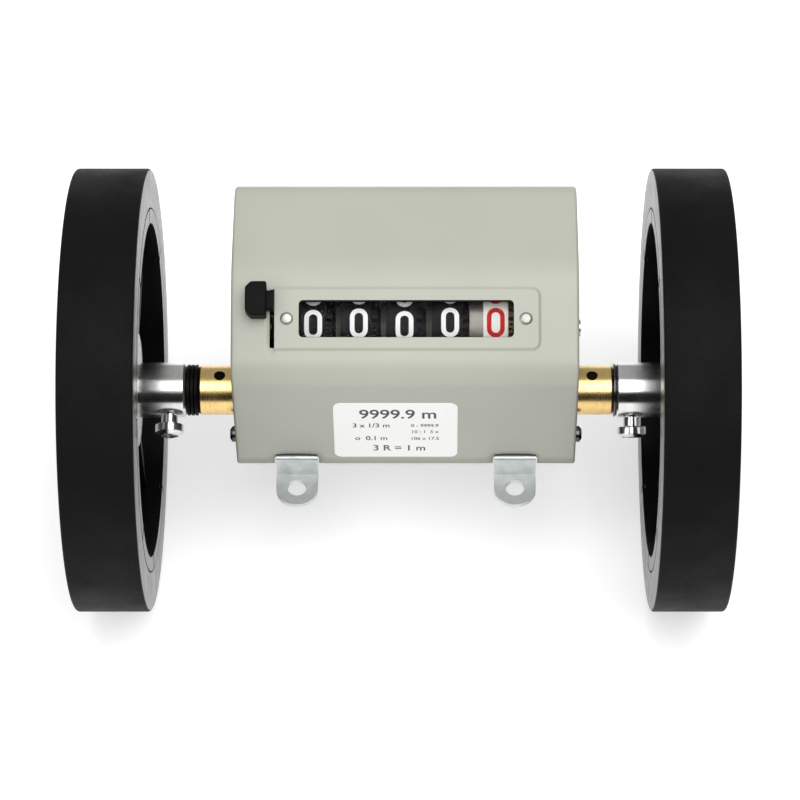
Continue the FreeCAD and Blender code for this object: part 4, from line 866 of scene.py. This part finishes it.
    def close_side(self, work: bmesh.types.BMesh, side: int,
                   rim: list[bmesh.types.BMVert]) -> None:
        """Round the sheet's edge and close it with a side wall with the axle's slot.

        Args:
            work: The hood's mesh.
            side: -1 for left and 1 for right.
            rim: Vertices of the sheet's last column.
        """
        wall = self.layout.case_left if side < 0 else self.layout.case_right
        for step in range(1, self.edge_steps + 1):
            turn = math.pi / 2 * step / self.edge_steps
            x = wall - side * self.edge * (1 - math.sin(turn))
            ring = [work.verts.new((x, y, z))
                    for y, z in self.split_section(self.edge * (1 - math.cos(turn)))]
            for index in range(len(ring) - 1):
                work.faces.new((rim[index], rim[index + 1], ring[index + 1], ring[index]))
            rim = ring
        turns = [math.pi * step / self.slot_steps for step in range(self.slot_steps + 1)]
        arch = [(self.slot_half, -self.layout.case_bottom),
                *((self.slot_half * math.cos(turn), self.slot_half * math.sin(turn))
                  for turn in turns), (-self.slot_half, -self.layout.case_bottom)]
        work.faces.new(rim + [work.verts.new((wall, y, z)) for y, z in arch])


@dataclass
class DisplayPanel:
    """Raised panel round the window, with a black frame in the window that paints the shadow
    under its top edge, and its two rivets.
    """

    layout: Layout
    right: float = 31.0
    sheet: float = 0.8
    corner: float = 1.5
    corner_steps: int = 6
    window: Point2 = (50.0, 8.7)
    window_shift: float = 0.3
    window_corner: float = 1.0
    flare: float = 1.1
    edge: float = 0.24
    # The next four size the black frame in the window, which is painted shadow; the drop lowers
    # its opening so that its top lip is widest.
    gasket_lip: Point2 = (0.3, 0.45)
    gasket_drop: float = -0.13
    gasket_grip: float = 0.6
    gasket_depths: Point2 = (0.75, 0.3)
    rivet_spacing: float = 55.6
    rivet: tuple[Point2, ...] = ((-1.2, 0.0), (-1.2, 0.75), (0.0, 0.75), (0.0, 1.5),
                                 (0.12, 1.5), (0.38, 1.2), (0.45, 0.95), (0.45, 0.0))

    def build(self, shop: Workshop) -> None:
        """Build the panel, the black frame in its window, which paints shadow, and its rivets.

        Args:
            shop: Makes the pieces.
        """
        rise = self.layout.panel_rise
        place = Matrix.Translation((self.layout.middle, 0, 0)) @ self.layout.display
        width, height = self.window
        lip, ledge = self.gasket_lip
        window, inner, outer = (
            rounded(rectangle(across, up, self.window_shift, y), self.window_corner,
                    self.corner_steps)
            for across, up, y in ((width, height, 0.0),
                                  (width - lip, height - ledge, self.gasket_drop),
                                  (width + self.gasket_grip, height + self.gasket_grip, 0.0)))
        work = plate(self.outline(), rise - self.sheet, rise, (window,))
        self.flare_edges(work)
        panel = shop.add("display_panel", solid(work, place), Finishes.PAINT,
                         Body.HOUSING.value, Slot.PAINT)
        soften(panel, self.edge, segments=4, angle=25.0)
        # The black frame in the window is painted shadow: its lip, widest at the top, stands in
        # for the shade under the panel's edge.
        low, high = (rise - depth for depth in self.gasket_depths)
        shop.add("window_shade_frame", solid(plate(outer, low, high, (inner,)), place),
                 Finishes.BLACK_PLASTIC, Body.HOUSING.value, Slot.BLACK_PLASTIC)
        spots = [Matrix.Translation((self.window_shift + side * self.rivet_spacing / 2, 0, rise))
                 for side in SIDES]
        heads = joined(solid(lathe(self.rivet, segments=40), place @ spot @ UPRIGHT)
                       for spot in spots)
        shop.add("window_rivets_looks", heads, Finishes.RIVET, Body.HOUSING.value,
                 Slot.BLACKENED, ("window_rivets",))

    def outline(self) -> list[Point2]:
        """Outline of the panel, with a straight left edge and its right corners rounded.

        Returns:
            Points as (x, y).
        """
        left, high = self.layout.slot_right, self.layout.panel_height / 2
        corners = [(left, -high), (self.right, -high), (self.right, high), (left, high)]
        each = self.corner_steps + 1
        soft = rounded(corners, self.corner, self.corner_steps)
        return corners[:1] + soft[each:3 * each] + corners[3:]

    def flare_edges(self, work: bmesh.types.BMesh) -> None:
        """Slope the panel's top, bottom and right walls outwards to the case.

        Args:
            work: The panel; its lower corners are moved.
        """
        straight = self.layout.panel_height / 2 - self.corner
        for vert in work.verts:
            if vert.co.z < 0:
                away = Vector((max(0.0, vert.co.x - (self.right - self.corner)),
                               max(0.0, abs(vert.co.y) - straight))).normalized() * self.flare
                vert.co.x += away.x
                vert.co.y += math.copysign(away.y, vert.co.y)


@dataclass
class Stroke:
    """One pen stroke of a figure: a run of points that may close on itself."""

    points: list[Point2]
    closed: bool = False


@dataclass
class Figures:
    """Rounded counter figures drawn with a pen of constant width."""

    half: float = 1.55
    rise: float = 2.96
    pen: float = 1.08
    run: float = 0.45
    mitre: float = 0.5

    @staticmethod
    def arc(up: float, radius: float, start: float, end: float, steps: int = 14) -> list[Point2]:
        """Points of an arc round (0, up), from one angle in degrees to another."""
        turns = [math.radians(start + (end - start) * step / steps) for step in range(steps + 1)]
        return [(radius * math.cos(turn), up + radius * math.sin(turn)) for turn in turns]

    def strokes(self, figure: int) -> list[Stroke]:
        """The strokes of one figure.

        Args:
            figure: From 0 to 9.

        Returns:
            Its strokes.
        """
        w, h, arc = self.half, self.rise, self.arc
        top, low, small, bowl = h - w, w - h, 0.86 * w, 1.08 * w
        six = [Stroke(arc(top, w, 25, 180) + [(-w, low)]), Stroke(arc(low, w, 0, 360, 24), True)]
        return (
            [Stroke(arc(top, w, 0, 180) + arc(low, w, 180, 360), True)],
            [Stroke([(-0.55 * w, h - 0.7 * w), (0.15 * w, h), (0.15 * w, -h)])],
            [Stroke(arc(top, w, 165, -35) + [(-w, -h), (w, -h)])],
            [Stroke(arc(top, w, 150, -90) + arc(low, w, 90, -150))],
            [Stroke([(0.45 * w, -h), (0.45 * w, h), (-w, -0.35 * h), (w, -0.35 * h)])],
            [Stroke([(0.9 * w, h), (-w, h), (-w, 0.1 * h)]
                    + arc(low + 0.1 * w, bowl, 125, -150))],
            six,
            [Stroke([(-w, h), (w, h), (-0.3 * w, -h)])],
            [Stroke(arc(h - small, small, 0, 360, 24), True),
             Stroke(arc(low, w, 0, 360, 24), True)],
            [Stroke([(-x, -y) for x, y in stroke.points], stroke.closed) for stroke in six],
        )[figure]

    def outline(self, stroke: Stroke) -> list[tuple[Vector, Vector]]:
        """The two sides of a stroke, pair by pair.

        Args:
            stroke: The stroke.

        Returns:
            Pairs of points on the left and right of its middle line.
        """
        points = self.refine(stroke)
        runs = [(after - here).normalized()
                for here, after in zip(points, points[1:] + points[:1])]
        pairs = []
        for index, here in enumerate(points):
            first, second = runs[index - 1], runs[index]
            if not stroke.closed:
                first, second = runs[max(index - 1, 0)], runs[min(index, len(points) - 2)]
            middle = (first + second).normalized()
            reach = self.pen / 2 / max(self.mitre, math.sqrt((1 + first.dot(second)) / 2))
            across = Vector((-middle.y, middle.x)) * reach
            pairs.append((here + across, here - across))
        return pairs

    def refine(self, stroke: Stroke) -> list[Vector]:
        """Split long runs so that the figure can follow the drum's curve.

        Args:
            stroke: The stroke.

        Returns:
            The points.
        """
        points = [Vector(point) for point in stroke.points]
        result: list[Vector] = []
        for start, end in zip(points, points[1:] + points[:stroke.closed]):
            length = (end - start).length
            if length > SAME_POINT:
                steps = math.ceil(length / self.run)
                result += [start.lerp(end, step / steps) for step in range(steps)]
        return result if stroke.closed else result + points[-1:]


@dataclass
class NumberDrums:
    """Figures round the five number drums."""

    layout: Layout
    pen: Figures = field(default_factory=Figures)
    names: tuple[str, ...] = ("thousands", "hundreds", "tens", "metres", "tenths")
    settle: tuple[float, ...] = (0.9, 0.55, 1.2, 0.36, 0.4)
    first_station: float = -20.25
    pitch: float = 10.65
    radius: float = 12.75
    proud: float = 0.035

    def build(self, shop: Workshop) -> None:
        """Build one ring of figures per drum.

        Args:
            shop: Makes the pieces.
        """
        for index, (name, settle) in enumerate(zip(self.names, self.settle)):
            work = bmesh.new()
            for figure in range(10):
                turn = math.tau * figure / 10 + settle / self.radius
                for stroke in self.pen.strokes(figure):
                    self.lay(work, stroke, self.first_station + index * self.pitch, turn)
            last = name == self.names[-1]
            shop.add(f"{name}_figures", solid(work),
                     Finishes.FIGURE_RED if last else Finishes.FIGURE_WHITE,
                     f"{name}_number_drum", Slot.DRUM_BLACK if last else Slot.DRUM_WHITE)

    def lay(self, work: bmesh.types.BMesh, stroke: Stroke, station: float,
            turn: float) -> None:
        """Lay one stroke on the drum as a thin ribbon of paint.

        Args:
            work: Mesh that takes the ribbon.
            stroke: The stroke.
            station: The drum's middle along the axle.
            turn: Angle of the figure's middle from the display, towards the front.
        """
        rows = [[work.verts.new(self.on_drum(station, point, turn)) for point in pair]
                for pair in self.pen.outline(stroke)]
        for here, after in zip(rows, rows[1:] + rows[:stroke.closed]):
            work.faces.new((here[0], here[1], after[1], after[0]))

    def on_drum(self, station: float, point: Vector, turn: float) -> Vector:
        """Lay a point of a figure on a drum.

        Args:
            station: The drum's middle along the axle.
            point: The point, x along the axle and y up the slope.
            turn: Angle of the figure's middle.

        Returns:
            The place.
        """
        angle = self.layout.tilt + turn - point.y / self.radius
        reach = self.radius + self.proud
        return self.layout.drum_axis + Vector(
            (station + point.x, -math.sin(angle) * reach, math.cos(angle) * reach))


@dataclass
class Wheels:
    """Measuring wheels: rubber tyres on moulded wheels with polished hubs."""

    inner: float = 59.75
    width: float = 17.5
    seat: float = 43.4
    rim: float = 39.0
    tread: float = 53.05
    edge: float = 0.7
    rim_edge: float = 0.3
    hub_edge: float = 0.25
    screw_edge: float = 0.2
    side_facing: float = 0.8

    def build(self, shop: Workshop) -> None:
        """Build tyres, wheels and hubs.

        Args:
            shop: Makes the pieces.
        """
        for side, name in zip(SIDES, ("left", "right")):
            section = rectangle(self.width, self.tread - self.seat,
                                side * (self.inner + self.width / 2),
                                (self.tread + self.seat) / 2)
            turned = lathe(rounded(section, self.edge, steps=6), segments=192)
            tyre = shop.add(f"{name}_tyre_looks", solid(turned), Finishes.TREAD,
                            Body.AXLE.value, Slot.TREAD, (f"{name}_tyre",), smooth=30.0)
            self.face_sides(tyre, low=0.0)
            self.face_sides(shop.machined(f"{name}_wheel", self.rim_edge), low=self.rim)
            shop.machined(f"{name}_hub", self.hub_edge)
            shop.machined(f"{name}_clamp_screw", self.hub_edge, Finishes.BRIGHT_SCREW)
        shop.machined("hub_screws", self.screw_edge)

    def face_sides(self, piece: bpy.types.Object, low: float) -> None:
        """Give the side faces of a tyre or rim a lighter, glossier finish: the gloss is real,
        the lighter shade is painted sheen.

        Args:
            piece: The tyre or the wheel.
            low: Radius in millimetres beyond which a side face takes the lighter finish.
        """
        mesh = piece.data
        mesh.materials.append(Finishes.SIDEWALL.material())
        for polygon in mesh.polygons:
            nearest = min(mesh.vertices[k].co.yz.length for k in polygon.vertices)
            polygon.material_index = int(
                nearest > low * MM and abs(polygon.normal.x) > self.side_facing)


@dataclass
class Bearings:
    """Brass bushes with the grooved ring and the washer beside them."""

    ring_start: float = -51.2
    ring_width: float = 2.8
    ring_bore: float = 3.1
    ring_radius: float = 6.1
    grooves: int = 3
    groove_depth: float = 0.45
    groove_share: float = 0.18
    oil_stations: Point2 = (-43.2, 45.6)
    felt_radius: float = 1.3
    felt_low: float = 4.4
    felt_high: float = 5.2
    bush_edge: float = 0.15
    washer_edge: float = 0.1

    def build(self, shop: Workshop) -> None:
        """Build the bushes, the ring, the washer and the dark discs that paint shade in the oil
        holes.

        Args:
            shop: Makes the pieces.
        """
        for node in ("left_bush", "right_bush"):
            shop.machined(node, self.bush_edge)
        # The washer's darker steel is painted shade of the gap beside the bush.
        shop.machined("thrust_washer", self.washer_edge, Finishes.DARK_STEEL)
        shop.add("spacer_ring_looks", solid(lathe(self.ring_section())),
                 Finishes.BLACK_PLASTIC, Body.AXLE.value, Slot.BLACK_PLASTIC, ("spacer_ring",))
        # The dark discs in the oil holes are painted shade.
        section = [(self.felt_low, 0.0), (self.felt_low, self.felt_radius),
                   (self.felt_high, self.felt_radius), (self.felt_high, 0.0)]
        spots = [Matrix.Translation((station, 0, 0)) for station in self.oil_stations]
        hole_shades = joined(solid(lathe(section, segments=32), spot @ UPRIGHT) for spot in spots)
        shop.add("oil_hole_shades", hole_shades, Finishes.OILED_FELT, Body.HOUSING.value, Slot.BLACKENED)

    def ring_section(self) -> list[Point2]:
        """Section of the ring with its grooves.

        Returns:
            Points as (station, radius).
        """
        end = self.ring_start + self.ring_width
        pitch, share = self.ring_width / self.grooves, self.groove_share
        floor = self.ring_radius - self.groove_depth
        points = [(self.ring_start, self.ring_bore), (end, self.ring_bore)]
        for groove in range(self.grooves):
            points += [(end - (groove + along) * pitch, radius) for along, radius in (
                (0.0, floor), (share, self.ring_radius), (1 - share, self.ring_radius),
                (1.0, floor))]
        return points


@dataclass
class ResetGrip:
    """Moulded finger grip on the lever, with a chamfered outer end and soft edges."""

    layout: Layout
    length: float = 8.1
    width: float = 4.9
    height: float = 4.2
    blade: float = 0.4
    blade_skin: float = 0.15
    reach: float = 33.25
    arm: float = 16.2
    rest: float = 23.5
    chamfer: float = 1.3
    edge: float = 0.35
    overhang: float = 1.6
    neck: tuple[float, float, float] = (2.2, 4.5, 2.6)

    def build(self, shop: Workshop) -> None:
        """Build the grip with the neck that covers the lever's blade.

        Args:
            shop: Makes the pieces.
        """
        lay = self.layout
        high_x, half = self.blade - self.overhang, self.length / 2
        low_x, cut = high_x - self.width, self.chamfer
        outline = [(low_x + cut, -half), (high_x, -half), (high_x, half), (low_x + cut, half),
                   (low_x, half - cut), (low_x, cut - half)]
        neck = rectangle(*self.neck[:2], self.blade + self.blade_skin - self.neck[0] / 2)
        pivot = lay.drum_axis + Vector((0, math.sin(lay.tilt), -math.cos(lay.tilt))) * self.arm
        pivot.x = lay.middle + (lay.slot_left + lay.slot_right) / 2
        place = Matrix.Translation(pivot) @ Matrix.Rotation(math.radians(self.rest), 4, "X")
        mesh = joined(solid(plate(shape, self.reach, self.reach + height), place)
                      for shape, height in ((outline, self.height), (neck, self.neck[2])))
        grip = shop.add("reset_grip", mesh, Finishes.BLACK_PLASTIC, Body.RESET.value,
                        Slot.BLACK_PLASTIC, ("reset_cap",))
        soften(grip, self.edge, segments=4)


@dataclass
class RatingLabel:
    """White label with generic rows of figures, each given by words, size, x and y."""

    layout: Layout
    width: float = 29.3
    height: float = 21.5
    shift: float = -2.35
    centre: float = 3.1
    bold: float = 0.014
    thickness: float = 0.15
    edge: float = 0.03
    ink: float = 0.03
    ink_depth: float = 0.02
    corner: float = 1.8
    rows: tuple[tuple[str, float, float, float], ...] = (
        ("9999.9 m", 4.9, 0.6, 6.3), ("3 x 1/3 m", 2.3, -5.8, 1.9),
        ("o  0.1 m", 2.3, -5.8, -3.2), ("0 - 9999.9", 1.6, 6.9, 1.9),
        ("10 : 1  5 x", 1.6, 6.9, -0.6), ("106 x 17.5", 1.6, 6.9, -3.3),
        ("3 R = 1 m", 3.1, 0.8, -7.2))

    def build(self, shop: Workshop) -> None:
        """Build the label and its lettering.

        Args:
            shop: Makes the pieces.
        """
        lay = self.layout
        face = Matrix.Translation((lay.middle + self.shift, -lay.case_front, self.centre)) \
            @ Matrix.Rotation(math.pi / 2, 4, "X")
        outline = rounded(rectangle(self.width, self.height), self.corner, steps=8)
        film = shop.add("label_film", solid(plate(outline, 0.0, self.thickness), face),
                        Finishes.LABEL, Body.HOUSING.value, Slot.LABEL, ("label_plate",))
        soften(film, self.edge, segments=2)
        letters = joined(self.lettering(*row, face) for row in self.rows)
        shop.add("label_print", letters, Finishes.LABEL_INK, Body.HOUSING.value, Slot.LABEL)

    def lettering(self, words: str, size: float, x: float, y: float,
                  face: Matrix) -> bpy.types.Mesh:
        """Make a flat line of letters, centred on its place.

        Args:
            words: What it says.
            size: Height of the line in millimetres.
            x: Its middle along the label.
            y: Its middle up the label.
            face: Place of the label.

        Returns:
            The mesh, in metres.
        """
        curve = bpy.data.curves.new("letters", "FONT")
        curve.body = words
        curve.size = size
        curve.align_x = "CENTER"
        curve.align_y = "CENTER"
        curve.extrude = self.ink
        curve.offset = self.bold * size
        writer = bpy.data.objects.new("writer", curve)
        bpy.context.scene.collection.objects.link(writer)
        bpy.context.view_layer.update()
        mesh = bpy.data.meshes.new_from_object(writer)
        bpy.data.objects.remove(writer)
        bpy.data.curves.remove(curve)
        spot = Matrix.Translation((x, y, self.thickness - self.ink_depth))
        mesh.transform(Matrix.Scale(MM, 4) @ face @ spot)
        return mesh


@dataclass
class Frame:
    """Bent frame with its feet, and the screws that hold the hood to it."""

    sheet_edge: float = 0.12
    screw_edge: float = 0.15

    def build(self, shop: Workshop) -> None:
        """Build the frame and the screws."""
        shop.machined("chassis", self.sheet_edge)
        # The screws' darker steel is painted shade.
        shop.machined("cover_screws", self.screw_edge, Finishes.DARK_STEEL)


# --------------------------------------------------------------------------- studio


def staged(name: str, data: bpy.types.ID) -> bpy.types.Object:
    """Put something into the scene that is no part of the counter.

    Args:
        name: Its name.
        data: Its mesh, light or camera.

    Returns:
        The object.
    """
    thing = bpy.data.objects.new(name, data)
    bpy.context.scene.collection.objects.link(thing)
    thing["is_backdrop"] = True
    return thing


def aimed(place: Point3, target: Point3) -> Matrix:
    """Place of a lamp or camera that looks from one point at another."""
    turn = (Vector(target) - Vector(place)).to_track_quat("-Z", "Y")
    return Matrix.Translation(place) @ turn.to_matrix().to_4x4()


@dataclass
class Lamp:
    """One soft area light, aimed at the counter's middle."""

    name: str
    place: Point3
    size: float
    power: float
    mirrored: bool = True

    def build(self) -> None:
        """Hang the lamp; metal mirrors it only if it should."""
        light = bpy.data.lights.new(self.name, "AREA")
        light.shape = "DISK"
        light.size = self.size
        light.energy = self.power
        lamp = staged(self.name, light)
        lamp.matrix_world = aimed(self.place, (0.0, 0.0, 0.0))
        lamp.visible_camera = False
        lamp.visible_glossy = self.mirrored


@dataclass
class Studio:
    """Pale floor, soft lamps, a dark card, an even sky and the camera, in metres."""

    floor_level: float = -0.05305
    floor_half: float = 3.0
    floor_glow: float = 0.35
    card_half: float = 0.5
    card_distance: float = 1.1
    sky: float = 0.5
    camera_place: Point3 = (0.0084, -0.5008, 0.6768)
    target: Point3 = (0.0084, 0.0, -0.004)
    camera_shift: float = -0.045
    lens: float = 158.0
    lamps: tuple[Lamp, ...] = (Lamp("key", (0.18, -0.36, 1.08), 1.05, 10.2),
                               Lamp("fill", (-0.75, -0.45, 0.55), 0.8, 2.6),
                               Lamp("back", (0.1, 0.8, 0.7), 0.7, 1.2, False))

    def build(self) -> None:
        """Build the studio."""
        self.build_floor()
        self.build_card()
        self.build_sky()
        for lamp in self.lamps:
            lamp.build()
        self.build_camera()
        bpy.context.scene.view_settings.view_transform = "Standard"

    @staticmethod
    def square(name: str, half: float, finish: Finish, place: Matrix) -> bpy.types.Object:
        """Lay out a flat square.

        Args:
            name: Its name.
            half: Half of its side in metres.
            finish: Its finish.
            place: Its place.

        Returns:
            The square.
        """
        work = bmesh.new()
        bmesh.ops.create_grid(work, x_segments=1, y_segments=1, size=half, matrix=place)
        mesh = released(work)
        mesh.materials.append(finish.material())
        return staged(name, mesh)

    def build_floor(self) -> None:
        """Lay the floor, which glows a little for the camera and for what mirrors it."""
        self.square("floor", self.floor_half, Finishes.FLOOR,
                    Matrix.Translation((0, 0, self.floor_level)))
        tree = Finishes.FLOOR.material().node_tree
        rays = add_node(tree, "LightPath", {}).outputs
        seen = maths(tree, "MAXIMUM", rays["Is Camera Ray"], rays["Is Glossy Ray"])
        wire(tree, tree.nodes["Principled BSDF"], {
            "Emission Color": WHITE,
            "Emission Strength": maths(tree, "MULTIPLY", seen, self.floor_glow)})

    def build_card(self) -> None:
        """Stand a dark card in front, which metal alone mirrors."""
        place = Matrix.Translation((0, -self.card_distance, self.card_half)) \
            @ Matrix.Rotation(math.pi / 2, 4, "X")
        card = self.square("front_card", self.card_half, Finishes.CARD, place)
        for rays in ("camera", "diffuse", "shadow", "transmission"):
            setattr(card, "visible_" + rays, False)

    def build_sky(self) -> None:
        """Light the scene evenly from all around, and show white past the floor."""
        world = bpy.data.worlds.new("even_sky")
        world.use_nodes = True
        tree = world.node_tree
        seen = add_node(tree, "LightPath", {}).outputs["Is Camera Ray"]
        beyond = maths(tree, "MULTIPLY", seen, 1.0 - self.sky)
        wire(tree, tree.nodes["Background"], {
            "Color": WHITE, "Strength": maths(tree, "ADD", beyond, self.sky)})
        bpy.context.scene.world = world

    def build_camera(self) -> None:
        """Set up the camera."""
        view = bpy.data.cameras.new("main_view")
        view.lens = self.lens
        view.sensor_width = 36.0
        view.shift_x = self.camera_shift
        view.dof.use_dof = False
        view.clip_start = 0.01
        camera = staged("main_view", view)
        camera.matrix_world = aimed(self.camera_place, self.target)
        bpy.context.scene.camera = camera


# --------------------------------------------------------------------------- main


def corners(bounds: Sequence[Sequence[float]]) -> list[list[float]]:
    """Turn a pair of corners into plain lists."""
    return [[float(number) for number in corner] for corner in bounds]


def main() -> None:
    """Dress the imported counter, piece by piece."""
    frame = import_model()
    solids = corners(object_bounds())
    layout = Layout()
    shop = Workshop(frame)
    assemblies = (CaseShell(layout), DisplayPanel(layout), NumberDrums(layout), Wheels(),
                  Bearings(), ResetGrip(layout), RatingLabel(layout), Frame())
    for assembly in assemblies:
        assembly.build(shop)
        LOG.info("built %s", type(assembly).__name__)
    shop.dress_rest({"drive_gear": Finishes.AGED_BRASS, "tenths_disc": Finishes.SATIN})
    Studio().build()
    {"solids": solids, "dressed": corners(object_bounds())}


if __name__ == "__main__":
    logging.basicConfig(level=logging.INFO, format="%(name)s: %(message)s")
    main()
